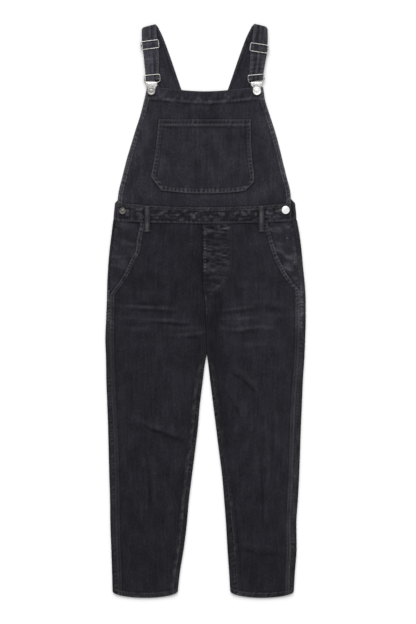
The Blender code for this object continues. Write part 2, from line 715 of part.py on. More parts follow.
def strap(side):
    """One strap: up from the back bib, over the shoulder fold, down to the clip and back up behind."""
    back = ends_of(strap_lines(BACK_OF_STRAP[side], 9), STRAP_PLY / 2, side)
    slider, loop = SLIDERS[side], CLIP_LOOPS[side]
    ends = placed([(side * STRAP_AT_BAR / 2, 0, 0), (-side * STRAP_AT_BAR / 2, 0, 0)], loop)
    at_bar = Strap(side * ends[0, 0], ends[0, 1], side * ends[1, 0], ends[1, 1])
    lines = strap_lines((*FRONT_OF_STRAP[side], at_bar), 25)
    middle_y = (lines[:, 1] + lines[:, 3]) / 2
    hump = np.cos(np.clip((middle_y - slider.y) / SLIDER_HUMP_REACH, -1, 1) * math.pi / 2) ** 2
    bar_height = STRAP_RETURN + 2 * STRAP_END_TURN
    height = STRAP_FACE + SLIDER_HUMP * hump
    height = height + (bar_height - STRAP_FACE) * ease(slider.y - 12, loop.y + 6, middle_y)
    front = ends_of(lines, height, side)
    over = turn(back[-1], front[0], STRAP_FOLD, 6, 1)
    behind = front[middle_y < slider.y + 3][::-3].copy()
    behind[..., 2] = STRAP_RETURN
    under = turn(front[-1], behind[0], STRAP_END_TURN, 5, -1)
    path = np.concatenate((back, over, front, under, behind))
    onward = np.gradient(path.mean(1), axis=0)
    level = path[:, 0] - path[:, 1]
    normal = np.cross(level, onward)
    normal /= np.linalg.norm(normal, axis=1)[:, None]
    part = np.array([0, 0.5, 1])[None, :, None]
    middle = path[:, :1] * (1 - part) + path[:, 1:] * part
    offset = normal[:, None, :] * STRAP_PLY / 2
    return Cloth(middle + offset, middle - offset)


def placed(points, spot):
    """Points given about a piece of hardware's middle, turned by its angle and moved to its place."""
    points = np.array(points, float)
    angle = math.radians(spot.turn)
    x = points[:, 0] * math.cos(angle) - points[:, 1] * math.sin(angle) + spot.x
    y = points[:, 0] * math.sin(angle) + points[:, 1] * math.cos(angle) + spot.y
    return np.stack((x, y, points[:, 2]), 1)


def rounded_loop(width, height, corner, z):
    """Points of a rounded rectangle, three to a corner."""
    points = []
    for quarter, (sx, sy) in enumerate(((1, 1), (-1, 1), (-1, -1), (1, -1))):
        for step in range(3):
            angle = math.radians(90 * quarter + 45 * step)
            x = sx * (width / 2 - corner) + corner * math.cos(angle)
            points.append((x, sy * (height / 2 - corner) + corner * math.sin(angle), z))
    return points


def slider(side):
    """A wire frame over the strap, and a middle bar under it whose ends hold the frame's sides."""
    spot = SLIDERS[side]
    wire_height = STRAP_FACE + STRAP_PLY / 2 + GAP + WIRE_RADIUS
    bar_height = STRAP_FACE + SLIDER_HUMP - STRAP_PLY / 2 - GAP - BAR_RADIUS
    frame = rounded_loop(SLIDER_WIDTH, SLIDER_HEIGHT, 3.5, wire_height)
    reach = SLIDER_WIDTH / 2
    bar = [
        (-reach - 1.2, 0, wire_height),
        (-reach + 0.3, 0, wire_height - 0.2),
        (-reach + 1.0, 0, bar_height),
        (reach - 1.0, 0, bar_height),
        (reach - 0.3, 0, wire_height - 0.2),
        (reach + 1.2, 0, wire_height),
    ]
    outer = wire(placed(frame, spot), WIRE_RADIUS, closed=True)
    return joined("slider_" + SIDES[side], outer, [wire(placed(bar, spot), BAR_RADIUS)], steel)


def plate_outline():
    """The stamped plate's outline about the button: a wide shoulder, a neck and a ring."""
    half = [(PLATE_SHOULDER, PLATE_TOP), (PLATE_SHOULDER, PLATE_TOP - 5), (PLATE_NECK, PLATE_TOP - 10)]
    turns = [math.radians(angle) for angle in range(20, -91, -22)]
    half = half + [(PLATE_RING * math.cos(turn), PLATE_RING * math.sin(turn)) for turn in turns]
    return half + [(-x, y) for x, y in reversed(half[:-1])]


def plate_slot():
    """The plate's hole: a slot whose round foot is where the button's shank sits."""
    turns = [math.radians(angle) for angle in range(180, 361, 30)]
    foot = [(SLOT_RADIUS * math.cos(turn), SLOT_RADIUS * math.sin(turn)) for turn in turns]
    return foot + [(SLOT_RADIUS, PLATE_TOP - 13), (-SLOT_RADIUS, PLATE_TOP - 13)]


def clip(side):
    """A wire loop over the strap, a bar inside the strap's end, and a plate hooked on the button."""
    spot = PLATES[side]
    plate_z = BIB_REST + RAISE + GAP + PLATE / 2
    bar_z = STRAP_RETURN + STRAP_END_TURN
    strap_top = bar_z + STRAP_END_TURN + STRAP_PLY / 2
    loop_z = strap_top + GAP + WIRE_RADIUS
    reach = CLIP_WIDTH / 2
    loop = [
        (-reach + 6.0, -7.0, plate_z),
        (-reach + 1.5, -5.0, plate_z + 0.2),
        (-reach, -1.0, plate_z + 0.3),
        (-reach, CLIP_TOP - 3.0, loop_z - 0.3),
        (-reach + 1.0, CLIP_TOP - 0.8, loop_z),
        (-reach + 3.0, CLIP_TOP, loop_z),
    ]
    loop = loop + [(-x, y, z) for x, y, z in reversed(loop)]
    bar = [(-reach - 1.2, 0, bar_z), (reach + 1.2, 0, bar_z)]
    outline = bpy.data.curves.new("plate", "CURVE")
    outline.dimensions = "2D"
    outline.fill_mode = "BOTH"
    outline.extrude = PLATE / 2 * MM
    for points in (plate_outline(), plate_slot()):
        line = outline.splines.new("POLY")
        line.points.add(len(points) - 1)
        line.use_cyclic_u = True
        for point, (x, y) in zip(line.points, points):
            point.co = (x * MM, y * MM, 0.0, 1.0)
    plate = bpy.data.objects.new("plate", outline)
    overalls.objects.link(plate)
    plate.location = (spot.x * MM, spot.y * MM, plate_z * MM)
    plate.rotation_euler.z = math.radians(spot.turn)
    plate = meshed(plate)
    wires = [
        wire(placed(loop, CLIP_LOOPS[side]), WIRE_RADIUS),
        wire(placed(bar, CLIP_LOOPS[side]), BAR_RADIUS),
    ]
    return joined("clip_" + SIDES[side], plate, wires, steel)


def button_profile(radius, foot, seat):
    """A shanked button, from its domed crown down to its foot: seat is the cap's underside."""
    rise = 3.2
    return (
        (0.0, seat + rise),
        (0.35 * radius, seat + rise - 0.15),
        (0.72 * radius, seat + rise - 0.6),
        (0.93 * radius, seat + rise - 1.3),
        (radius, seat + 1.2),
        (0.97 * radius, seat + 0.3),
        (0.86 * radius, seat),
        (SHANK_RADIUS, seat),
        (SHANK_RADIUS, foot),
        (0.0, foot),
    )


def buttons():
    """Two buttons that hold the clips, and two at the waist whose shanks reach the back band."""
    for side, wearer in SIDES.items():
        spot = PLATES[side]
        foot = BIB_REST + RAISE + GAP
        profile = button_profile(BIB_BUTTON_RADIUS, foot, foot + PLATE + GAP)
        turned("bib_button_" + wearer, profile, (spot.x, spot.y, 0), steel)
        x, y, radius = WAIST_BUTTONS[side]
        profile = button_profile(radius, DOUBLED + GAP, band_face(x) + GAP)
        turned("waist_button_" + wearer, profile, (x, y, 0), steel if side > 0 else aged)


for old in list(bpy.data.objects):
    bpy.data.objects.remove(old)
overalls = bpy.data.collections.new("bib_overalls")
bpy.context.scene.collection.children.link(overalls)
denim = material("washed_black_denim", (0.030, 0.029, 0.034), 0.9)
steel = material("nickel_plated_steel", (0.78, 0.77, 0.75), 0.3, 1.0)
aged = material("aged_brass", (0.38, 0.35, 0.28), 0.5, 1.0)

for sign, wearer_side in SIDES.items():
    wall("front_leg_" + wearer_side, front_leg(sign), denim)
    wall("back_leg_" + wearer_side, back_leg(sign), denim)
    wall("pocket_facing_" + wearer_side, pocket_facing(sign), denim)
    wall("belt_loop_" + wearer_side, belt_loop(sign), denim)
    wall("strap_" + wearer_side, strap(sign), denim)
    slider(sign)
    clip(sign)
front_waistband()
wall("back_waistband", back_waistband(), denim)
wall("front_bib", front_bib(), denim)
wall("bib_pocket", bib_pocket(), denim)
wall("back_bib", back_bib(), denim)
buttons()
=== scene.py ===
"""Bib overalls in washed black denim, laid flat: their cloth, stitches and hardware as they look.

+X is the wearer's left, +Y runs from the hems up to the straps, and +Z is up from the floor.
Sizes are in millimetres until they reach a mesh, which is in metres. Every visible piece stands
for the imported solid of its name, with the same tables of sizes and a finer surface.
"""

import math
from collections import namedtuple
from functools import reduce

import bpy
import numpy as np
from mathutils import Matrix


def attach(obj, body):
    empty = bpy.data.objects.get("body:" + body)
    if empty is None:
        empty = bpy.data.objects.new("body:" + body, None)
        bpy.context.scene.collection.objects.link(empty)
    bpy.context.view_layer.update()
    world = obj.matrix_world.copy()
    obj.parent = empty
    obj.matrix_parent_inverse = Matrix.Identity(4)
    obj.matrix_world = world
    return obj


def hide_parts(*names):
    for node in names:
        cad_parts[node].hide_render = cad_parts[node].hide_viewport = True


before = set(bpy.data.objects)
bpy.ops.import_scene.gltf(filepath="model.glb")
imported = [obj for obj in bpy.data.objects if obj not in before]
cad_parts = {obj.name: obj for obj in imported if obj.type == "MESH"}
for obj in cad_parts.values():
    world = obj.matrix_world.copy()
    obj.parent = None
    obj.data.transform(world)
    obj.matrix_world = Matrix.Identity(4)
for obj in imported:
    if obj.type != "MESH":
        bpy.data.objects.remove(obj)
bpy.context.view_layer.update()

MM = 0.001

# ---------------------------------------------------------------- the same sizes as the solids

CLOTH = 1.2
DOUBLED = 2.4
GAP = 0.3
RAISE = 0.9
RAISE_STEP = 2.0
SEAM_BAND = 10.0
LEG_HEM = 11.0
BIB_HEM = 29.0
MOUTH_HEM = 15.0

WAIST_Y = 216.0
BAND_HEIGHT = 44.0
BAND_FOOT_DIP, BAND_HEAD_DIP = 6.0, 10.0
BAND_HALF = 208.0
BAND_FACE = 6.0
BAND_END_DROP = 0.8
CROTCH_Y = -104.0
HEM_Y = -671.0
HEM_BOW = 17.0
BACK_HEM_BOW = 12.0
HEM_BOW_FROM = -560.0
MEETS_BAND_FROM = 150.0
FOLD_RADIUS = 3.1
QUARTER_TURN = math.pi * FOLD_RADIUS / 2
SAG = 1.6
SAG_REACH = 28.0
BIB_TOP_Y = 538.0
BIB_TOP_DIP = 10.0
BIB_REST = 3.6
BIB_AT_WAIST = 4.5
BIB_SIDE_DROP = 2.2
BIB_SIDE_REACH = 32.0
BIB_CORNERS_Y = 500.0
BIB_WAVE = 0.2
POCKET_FOOT_BOW = 8.5
BACK_BIB_TOP = 400.0
BACK_BIB_HALF_TOP, BACK_BIB_FLARE = 79.0, 95.0
BACK_BAND_TOP = 269.0
BACK_BAND_FOOT = 219.0
BACK_BAND_RIGHT, BACK_BAND_LEFT = -221.0, 218.5
BACK_BAND_TAPER = 3.5
BACK_BAND_CORNER = 8.0

Edge = namedtuple("Edge", "y right left")
HIPS_AND_LEGS = (
    Edge(219, -221.5, 219.5),
    Edge(180, -226.5, 226.5),
    Edge(142, -231.0, 231.0),
    Edge(104, -234.0, 234.5),
    Edge(65, -236.0, 238.5),
    Edge(27, -237.0, 240.5),
    Edge(-21, -238.8, 240.6),
    Edge(-69, -240.6, 239.2),
    Edge(-107, -239.2, 237.8),
    Edge(-165, -238.2, 234.0),
    Edge(-223, -236.0, 231.5),
    Edge(-280, -234.0, 229.0),
    Edge(-338, -232.6, 227.0),
    Edge(-395, -231.2, 225.0),
    Edge(-453, -229.4, 221.8),
    Edge(-511, -228.6, 218.2),
    Edge(-568, -226.6, 218.8),
    Edge(-626, -224.6, 214.8),
    Edge(-671, -223.4, 212.0),
)
INSIDE_LEGS = (
    Edge(-104, 2.6, 3.2),
    Edge(-127, -1.6, 6.4),
    Edge(-165, -6.4, 11.0),
    Edge(-223, -13.4, 18.2),
    Edge(-280, -18.4, 25.4),
    Edge(-338, -25.4, 32.6),
    Edge(-395, -32.6, 39.8),
    Edge(-453, -39.8, 44.8),
    Edge(-511, -45.0, 49.2),
    Edge(-568, -52.0, 52.4),
    Edge(-626, -61.4, 56.6),
    Edge(-671, -66.4, 59.4),
)
BIB_SIDES = (
    Edge(540, -140, 138),
    Edge(507, -147, 143),
    Edge(468, -157, 155),
    Edge(430, -169, 167),
    Edge(392, -180, 177),
    Edge(353, -191, 186),
    Edge(315, -200, 195),
    Edge(275, -209, 204),
    Edge(256, -211, 205),
)
POCKET_SIDES = (
    Edge(460, -112, 109),
    Edge(411, -117, 109),
    Edge(363, -123, 112),
    Edge(323, -130, 117),
    Edge(312, -123, 116),
    Edge(291, -106, 94),
)
Point = namedtuple("Point", "y x")
FLY_EDGE = Point(212, -7.2), Point(60, -6.6), Point(30, -2.6), Point(-40, 0.6), Point(-104, 2.9)

Seams = namedtuple("Seams", "y side_right side_left inside_right inside_left")
SEAM_DEPTHS = (
    Seams(219, 5, 12, 0, 0),
    Seams(65, 6, 13, 0, 0),
    Seams(-21, 9, 14, 0, 0),
    Seams(-104, 10, 13, 0, 0),
    Seams(-140, 10, 13, 6, 5),
    Seams(-223, 11, 15, 9, 6),
    Seams(-338, 13, 15, 9, 8),
    Seams(-453, 12, 14, 9, 11),
    Seams(-568, 12, 13, 9, 15),
    Seams(-671, 13, 10, 10, 17),
)

POCKET_OPENINGS = (
    Edge(213, -157, 150),
    Edge(172, -165, 162),
    Edge(146, -168, 169),
    Edge(123, -180, 178),
    Edge(99, -191, 190),
    Edge(75, -204, 205),
    Edge(57, -217, 220),
    Edge(40, -230, 236),
)
UNDER_POCKET_EDGE = 12.0
FACING_FOOT = 48.0

MIDDLE_SPREAD = 0.6
FLY_WIDTH = 61.0
FLY_CURVE_FROM = 125.0
FLY_STITCH_FOOT = 34.0
FLY_STITCH_INSETS = (0, 7)

Strap = namedtuple("Strap", "out_x out_y in_x in_y")
BACK_OF_STRAP = {
    -1: (
        Strap(BACK_BIB_HALF_TOP, BACK_BIB_TOP + GAP, 8, BACK_BIB_TOP + GAP),
        Strap(99, 470, 33, 470),
        Strap(117, 538, 59, 536),
        Strap(135, 604, 83, 606),
        Strap(147, 645, 101, 655),
        Strap(152, 674, 114, 683.5),
    ),
    1: (
        Strap(BACK_BIB_HALF_TOP, BACK_BIB_TOP + GAP, 8, BACK_BIB_TOP + GAP),
        Strap(98, 470, 30, 470),
        Strap(114, 538, 55, 536),
        Strap(131, 604, 79, 606),
        Strap(142, 645, 97, 655),
        Strap(147, 676, 111, 684.5),
    ),
}
STRAP_AT_BAR = 32.0
FRONT_OF_STRAP = {
    -1: (
        Strap(153, 674, 118, 683.5),
        Strap(152.6, 650, 116.5, 655),
        Strap(150, 626, 113.2, 631),
        Strap(147.5, 602, 111.6, 605),
        Strap(144.5, 572, 112.4, 575),
    ),
    1: (
        Strap(149, 676, 116, 684.5),
        Strap(149.3, 650, 113, 655),
        Strap(147.5, 620, 109, 626),
        Strap(145, 605, 107, 603),
        Strap(139.5, 574, 105.5, 572),
    ),
}
STRAP_PLY = 1.8
STRAP_FOLD = 2.45
STRAP_FACE = STRAP_PLY / 2 + 2 * STRAP_FOLD
STRAP_RETURN = 3.2
STRAP_END_TURN = 2.0
STRAP_CROWN = 3.4  # how far the shoulder fold stands above its table, between its round corners
BAR_RADIUS = 0.8
WIRE_RADIUS = 1.0

Hardware = namedtuple("Hardware", "x y turn")
SLIDERS = {-1: Hardware(-133.6, 639.0, 7.3), 1: Hardware(128.6, 631.0, -8.3)}
CLIP_LOOPS = {-1: Hardware(-127.8, 556.0, 5.0), 1: Hardware(121.6, 556.0, 4.5)}
PLATES = {-1: Hardware(-130.0, 528.0, -2.0), 1: Hardware(123.4, 528.0, 1.0)}
SLIDER_WIDTH, SLIDER_HEIGHT = 42.5, 19.0
SLIDER_HUMP = 1.4
SLIDER_HUMP_REACH = 9.0
CLIP_WIDTH, CLIP_TOP = 38.0, 10.5
PLATE = 1.2
PLATE_SHOULDER, PLATE_TOP = 15.5, 22.5
PLATE_NECK = 10.0
PLATE_RING = 10.8
PLATE_CENTRE_Y = 5.0
SLOT_RADIUS = 4.2
BIB_BUTTON_RADIUS = 10.0
WAIST_BUTTONS = {-1: (-199.2, 240.5, 8.3), 1: (192.2, 242.8, 10.4)}
SHANK_RADIUS = 3.0
BUTTONHOLE_LENGTH = 18.0
BUTTONHOLE_INSET = 7.0
BELT_LOOPS = {-1: -139.5, 1: 134.5}
LOOP_WIDTH, LOOP_PLY, LOOP_SLACK, LOOP_CROWN = 15.0, 1.6, 0.6, 0.3
LOOP_TOP, LOOP_FOOT = 252.0, 191.0

SIDES = {-1: "right", 1: "left"}
LEG_ROWS = BACK_BAND_FOOT - GAP, HEM_Y
BAND_ENDS = BIB_SIDES[-1].right - 0.5, BIB_SIDES[-1].left + 0.5
POCKET_MOUTH, POCKET_FOOT = POCKET_SIDES[0].y, POCKET_SIDES[-1].y

# ---------------------------------------------------------------- how the cloth lies and wears, and where shade is painted into it

Fold = namedtuple("Fold", "height left right path")  # widths to the left and right of the way it runs
HIP_FOLDS = (
    Fold(1.0, 5, 3.5, ((-226, 15), (-205, 13.5), (-169, 10), (-116, 7.5), (-73, 5))),
    Fold(-0.8, 3.5, 3.5, ((-186, 17), (-150, 17), (-108, 15))),
    Fold(-0.8, 3.5, 3.5, ((-181, 2), (-135, 1), (-100, -2), (-70, -4))),
    Fold(0.9, 5, 3.5, ((-150, -19), (-110, -22.5), (-64, -25), (-34, -26))),
    Fold(-0.9, 3.5, 3.5, ((-128, -28), (-88, -30), (-64, -34), (-40, -35))),
    Fold(0.8, 5, 4, ((-75, -41), (-40, -40), (-1, -42))),
    Fold(0.7, 4, 3.5, ((-38, -51), (-14, -52), (0, -51))),
    Fold(-0.9, 4, 4, ((-56, -65), (-32, -63), (-10, -64))),
    Fold(0.5, 6, 5, ((-92, -58), (-52, -57), (-20, -58))),
    Fold(0.5, 5, 4, ((-222, -12), (-188, -17), (-165, -16))),
    Fold(0.4, 6, 5, ((-206, -40), (-160, -44), (-122, -42))),
    Fold(-0.4, 5, 5, ((-200, -30), (-170, -33), (-138, -31))),
    Fold(0.35, 6, 5, ((-196, 46), (-150, 42), (-112, 44))),
    Fold(0.8, 4, 3.5, ((30, 2), (60, 4), (92, 9), (118, 10))),
    Fold(-0.9, 3.5, 3.5, ((40, -4.5), (66, -3.5), (90, -1), (120, 3))),
    Fold(0.9, 5, 4, ((38, -17), (80, -18), (128, -16))),
    Fold(0.5, 4, 4, ((50, -28), (70, -29), (90, -28))),
    Fold(1.0, 5, 4, ((42, -43), (80, -43.5), (128, -38), (160, -40))),
    Fold(-0.7, 4, 4, ((50, -52), (90, -53), (126, -49))),
    Fold(0.5, 6, 5, ((66, 20), (130, 22), (205, 14))),
    Fold(-0.5, 5, 5, ((126, 6), (160, 4), (200, 3))),
    Fold(0.4, 6, 5, ((128, -10), (170, -13), (216, -10))),
    Fold(0.4, 6, 5, ((70, -78), (108, -80), (150, -75))),
    Fold(0.35, 6, 5, ((60, 66), (104, 62), (150, 66))),
    Fold(-0.8, 3.5, 4, ((37, 40), (38, 14), (36, -14))),
)
LEG_FOLDS = (
    Fold(0.9, 9, 4, ((-168, -260), (-134, -274), (-104, -284), (-60, -302))),
    Fold(-1.2, 3, 5, ((-147, -273), (-133, -285), (-109, -290.5), (-90, -299.5), (-70, -307), (-50, -312))),
    Fold(-0.9, 3.5, 3.5, ((-148, -338), (-140.5, -362), (-135.6, -405), (-133, -470))),
    Fold(0.5, 4, 6, ((-150, -345), (-144, -376), (-141, -420), (-139, -470))),
    Fold(0.4, 6, 4, ((-128, -350), (-124, -400), (-122, -460))),
    Fold(-0.5, 5, 5, ((-163, -500), (-150, -525), (-133, -562))),
    Fold(0.4, 8, 8, ((-206, -150), (-199, -230), (-203, -320))),
    Fold(0.3, 10, 10, ((-90, -420), (-84, -500), (-92, -570))),
    Fold(0.3, 10, 10, ((-70, -140), (-74, -200), (-66, -250))),
    Fold(-0.3, 6, 6, ((-176, -400), (-180, -460), (-176, -520))),
    Fold(-1.0, 4, 4, ((57, -145), (83, -160), (104.5, -179.5), (120, -195))),
    Fold(0.8, 5, 4, ((70, -134), (95, -153), (117, -176), (128, -200))),
    Fold(-0.8, 4, 4, ((33, -170), (55, -205), (84, -250))),
    Fold(0.5, 5, 4, ((44, -172), (66, -208), (92, -248))),
    Fold(0.8, 5, 5, ((137, -222), (147, -290), (153, -350), (150, -410))),
    Fold(0.4, 5, 5, ((168, -205), (172, -280), (166, -372))),
    Fold(-0.4, 4, 4, ((158, -230), (162, -300), (160, -360))),
    Fold(-0.9, 4, 4, ((128, -330), (135, -405), (138, -505))),
    Fold(0.5, 5, 6, ((122, -300), (125, -360), (129, -420))),
    Fold(-0.8, 3.5, 4, ((83, -571), (100, -575), (121, -580))),
    Fold(-0.7, 3.5, 4, ((118, -584), (146, -584), (158, -582))),
    Fold(-0.6, 4, 4, ((155, -588), (170, -586), (182, -586))),
    Fold(0.5, 6, 5, ((62, -558), (110, -563), (188, -572))),
    Fold(0.6, 4, 4, ((61, -500), (66, -561), (71, -597))),
    Fold(-0.7, 3.5, 3.5, ((78, -525), (77, -560), (76, -597))),
    Fold(0.3, 10, 10, ((196, -420), (190, -500), (194, -580))),
)
BACK_FOLDS = (  # hidden on the floor side: the same kinds of creases behind the knees and seat
    Fold(0.6, 9, 7, ((-200, 10), (-130, 2), (-60, 6))),
    Fold(0.5, 8, 6, ((-170, -30), (-110, -38), (-40, -34))),
    Fold(0.6, 7, 9, ((-150, -70), (-90, -76), (-30, -66))),
    Fold(0.6, 12, 8, ((-190, -280), (-130, -300), (-60, -290))),
    Fold(0.5, 8, 10, ((-170, -330), (-120, -342), (-70, -336))),
    Fold(0.4, 10, 10, ((-150, -390), (-146, -460), (-150, -530))),
    Fold(0.6, 8, 8, ((50, 4), (120, -4), (190, 6))),
    Fold(0.5, 7, 9, ((40, -38), (100, -44), (160, -36))),
    Fold(0.5, 9, 7, ((60, -80), (120, -90), (170, -82))),
    Fold(0.6, 10, 8, ((70, -276), (130, -292), (196, -284))),
    Fold(0.5, 8, 8, ((80, -330), (130, -338), (180, -330))),
    Fold(0.4, 10, 10, ((150, -400), (146, -470), (150, -540))),
)
BIB_FOLDS = (
    Fold(0.7, 4, 4, ((-96, 510), (-78, 502), (-60, 496))),
    Fold(-0.5, 4, 4, ((-84, 497), (-66, 491), (-50, 490))),
    Fold(0.5, 14, 10, ((-168, 300), (-140, 276), (-90, 268))),
    Fold(0.5, 10, 12, ((80, 272), (130, 282), (166, 300))),
    Fold(0.4, 12, 12, ((-140, 470), (-146, 410), (-158, 360))),
    Fold(0.4, 12, 12, ((136, 470), (146, 410), (152, 350))),
    Fold(0.4, 9, 7, ((-30, 275), (20, 270), (64, 276))),
)
POCKET_FOLDS = (
    Fold(0.5, 10, 7, ((52, 354), (80, 360), (104, 362))),
    Fold(0.4, 9, 9, ((-96, 430), (-104, 380), (-106, 340))),
    Fold(0.4, 12, 12, ((-40, 430), (-50, 380), (-44, 330))),
    Fold(0.4, 12, 10, ((30, 420), (44, 370), (40, 320))),
)

Patch = namedtuple("Patch", "x y wide high tone")  # a lighter (above 0) or darker place in the legs' colour: wash, and painted shade where noted
LEG_PATCHES = (
    # painted shade of the trough down the wearer's left inner thigh, beside the crotch seam
    Patch(22, -20, 18, 75, -0.34),
    Patch(30, -150, 18, 110, -0.26),
    Patch(44, -300, 20, 110, -0.18),
    Patch(-18, 60, 20, 160, -0.18),
    Patch(30, 60, 34, 60, -0.08),
    Patch(110, 60, 70, 110, 0.04),
    Patch(150, -90, 60, 90, 0.10),
    Patch(150, -330, 50, 120, 0.08),
    Patch(-120, -40, 80, 40, 0.06),
    Patch(-60, -150, 50, 80, 0.06),
    Patch(-30, 120, 24, 90, -0.08),
    Patch(-140, -600, 90, 60, -0.08),
    Patch(130, -620, 90, 50, -0.06),
)

Crinkle = namedtuple("Crinkle", "y high size")  # a belt across the placket, between hidden buttons
FLY_CRINKLES = (
    Crinkle(196, 9, 1.0),
    Crinkle(151, 7, 0.55),
    Crinkle(135, 8, 0.75),
    Crinkle(117, 8, 0.9),
    Crinkle(98, 8, 0.5),
    Crinkle(62, 9, 0.5),
)
Lint = namedtuple("Lint", "x y wide high")  # pale specks on the wearer's left pocket facing
FACING_LINT = Lint(195.6, 175.7, 1.6, 2.0), Lint(213.6, 118.1, 1.6, 2.0)

# How light each piece's wash is, against 1 for plain dyed cloth
BIB_WASH, POCKET_WASH, BACK_BIB_WASH = 1.56, 1.61, 1.2
BAND_WASH, BACK_BAND_WASH, LOOP_WASH = 1.22, 1.15, 1.15
FACING_WASH = {-1: 1.40, 1: 1.65}
StrapWash = namedtuple("StrapWash", "behind front")  # what the front ply adds to the ply behind
STRAP_WASH = {-1: StrapWash(1.95, 0.95), 1: StrapWash(1.66, 0.30)}

# How far the dye is rubbed away, from 0 to 1, on the wearer's right and on the more worn left
FrontRub = namedtuple("FrontRub", "seam at_pocket below_pocket pucker glow inseam hem")
FRONT_RUB = {
    -1: FrontRub(0.15, 0.28, 0.16, 0.10, 0.10, 0.34, 0.29),
    1: FrontRub(0.29, 0.19, 0.29, 0.70, 0.20, 0.20, 0.36),
}
BackRub = namedtuple("BackRub", "below_pocket flange glow")
BACK_RUB = {-1: BackRub(0.75, 0.035, 0.0), 1: BackRub(1.0, 0.12, 0.18)}
FACING_RUB = {-1: 0.3, 1: 0.95}
BIB_SIDE_RUB = {-1: 0.84, 1: 1.02}

EDGE_STEPS = (0, 0.15, 0.45, 1.0, 2.0, 3.2, 4.6, 6.0, 7.4, 8.8, 10.0, 11.0, 12.0)
PLAIN_STEPS = (0, 0.15, 0.45, 1.0, 2.0)
BAND_STEPS = (0, 0.2, 0.6, 1.2, 2.2)
BIB_LENGTH, BIB_MIDDLE_LENGTH = 285.0, 278.0
STITCH_ROWS = (2.0, 8.5)  # distances of the twin rows of stitches from a turned edge
STITCH_PITCH = 3.4
THREAD_RADIUS = 0.34
LEG_HEM_STITCH, MOUTH_STITCH, TOP_STITCHES = 9.3, MOUTH_HEM - 2.0, (2.4, BIB_HEM - 3.0)
BAND_STITCHES, BAND_FOOT_STITCH, BACK_BAND_STITCH, LOOP_STITCH = (2.0, 7.0), 2.4, 2.2, 2.2
PAST_WEAR = 60.0  # a distance from a seam at which none of its wear shows

Cloth = namedtuple("Cloth", "face back across along worn tone")
Relief = namedtuple("Relief", "height worn tone", defaults=(0.0, 0.0, 1.0))


# ---------------------------------------------------------------- curves, wander, wear and painted shade


def cubic(start, start_slope, end, end_slope, t):
    """The cubic with these values and slopes at 0 and 1, at t between them."""
    return (
        start * (1 + 2 * t) * (1 - t) ** 2
        + start_slope * t * (1 - t) ** 2
        + end * t**2 * (3 - 2 * t)
        - end_slope * t**2 * (1 - t)
    )


def follow(rows, column, y):
    """The column's value at height y: cubics through the rows that never pass a row's value."""
    ys, values = np.array(sorted((row.y, getattr(row, column)) for row in rows)).T
    step = np.diff(ys)
    slope = np.diff(values) / step
    turning = slope[:-1] * slope[1:] <= 0
    mean = 2 * slope[:-1] * slope[1:] / np.where(turning, 1, slope[:-1] + slope[1:])
    tangent = np.concatenate(([slope[0]], np.where(turning, 0, mean), [slope[-1]]))
    at = np.clip(np.asarray(y, float), ys[0], ys[-1])
    k = np.clip(np.searchsorted(ys, at) - 1, 0, len(step) - 1)
    slopes = tangent[k] * step[k], tangent[k + 1] * step[k]
    return cubic(values[k], slopes[0], values[k + 1], slopes[1], (at - ys[k]) / step[k])


def sides_of(rows, y):
    """x of a panel's right and left sides at height y."""
    return follow(rows, "right", y), follow(rows, "left", y)


def least(*values):
    """The smallest of several values at each point."""
    return reduce(np.minimum, values)


def ease(start, end, value):
    """0 before start, 1 after end, and a smooth S between them. start may be the larger."""
    t = np.clip((np.asarray(value, float) - start) / (end - start), 0, 1)
    return t * t * (3 - 2 * t)


def bell(value, width):
    """1 at 0, falling off as a bell whose height is 0.37 at width to either side."""
    return np.exp(-((value / width) ** 2))


def wander(along, spacing, seed):
    """Random values between -1 and 1, one every spacing along a line, joined by smooth S curves."""
    knots = np.random.default_rng(seed).uniform(-1, 1, 1024)
    place = np.asarray(along, float) / spacing + 512
    k = np.floor(place).astype(int)
    t = ease(0, 1, place - k)
    return knots[k % 1024] * (1 - t) + knots[(k + 1) % 1024] * t


def uneven(along, spacing, seed, share):
    """A factor that wanders along a line, between 1 and 1 less twice the share."""
    return 1 - share + share * wander(along, spacing, seed)


def beat(along, pitch, drift, spacing, seed):
    """A cosine along a line, one wave to a pitch, whose places drift by this many millimetres."""
    return np.cos(2 * math.pi * (along + drift * wander(along, spacing, seed)) / pitch)


def mottle(x, y, across, along, seed):
    """Random values over a surface, on a net of across by along, joined by S curves both ways."""
    knots = np.random.default_rng(seed).uniform(-1, 1, (256, 256))
    u, v = np.broadcast_arrays(np.asarray(x, float) / across + 128, np.asarray(y, float) / along + 128)
    i, j = np.floor(u).astype(int), np.floor(v).astype(int)
    s, t = ease(0, 1, u - i), ease(0, 1, v - j)
    i, j, i_on, j_on = i % 256, j % 256, (i + 1) % 256, (j + 1) % 256
    near = knots[i, j] * (1 - s) + knots[i_on, j] * s
    far = knots[i, j_on] * (1 - s) + knots[i_on, j_on] * s
    return near * (1 - t) + far * t


def spots(x, y, across, along, seed, more=0.0):
    """Spots of up to 1 where that mottle, raised by more, is above 0."""
    return np.clip(mottle(x, y, across, along, seed) + more, 0, 1)


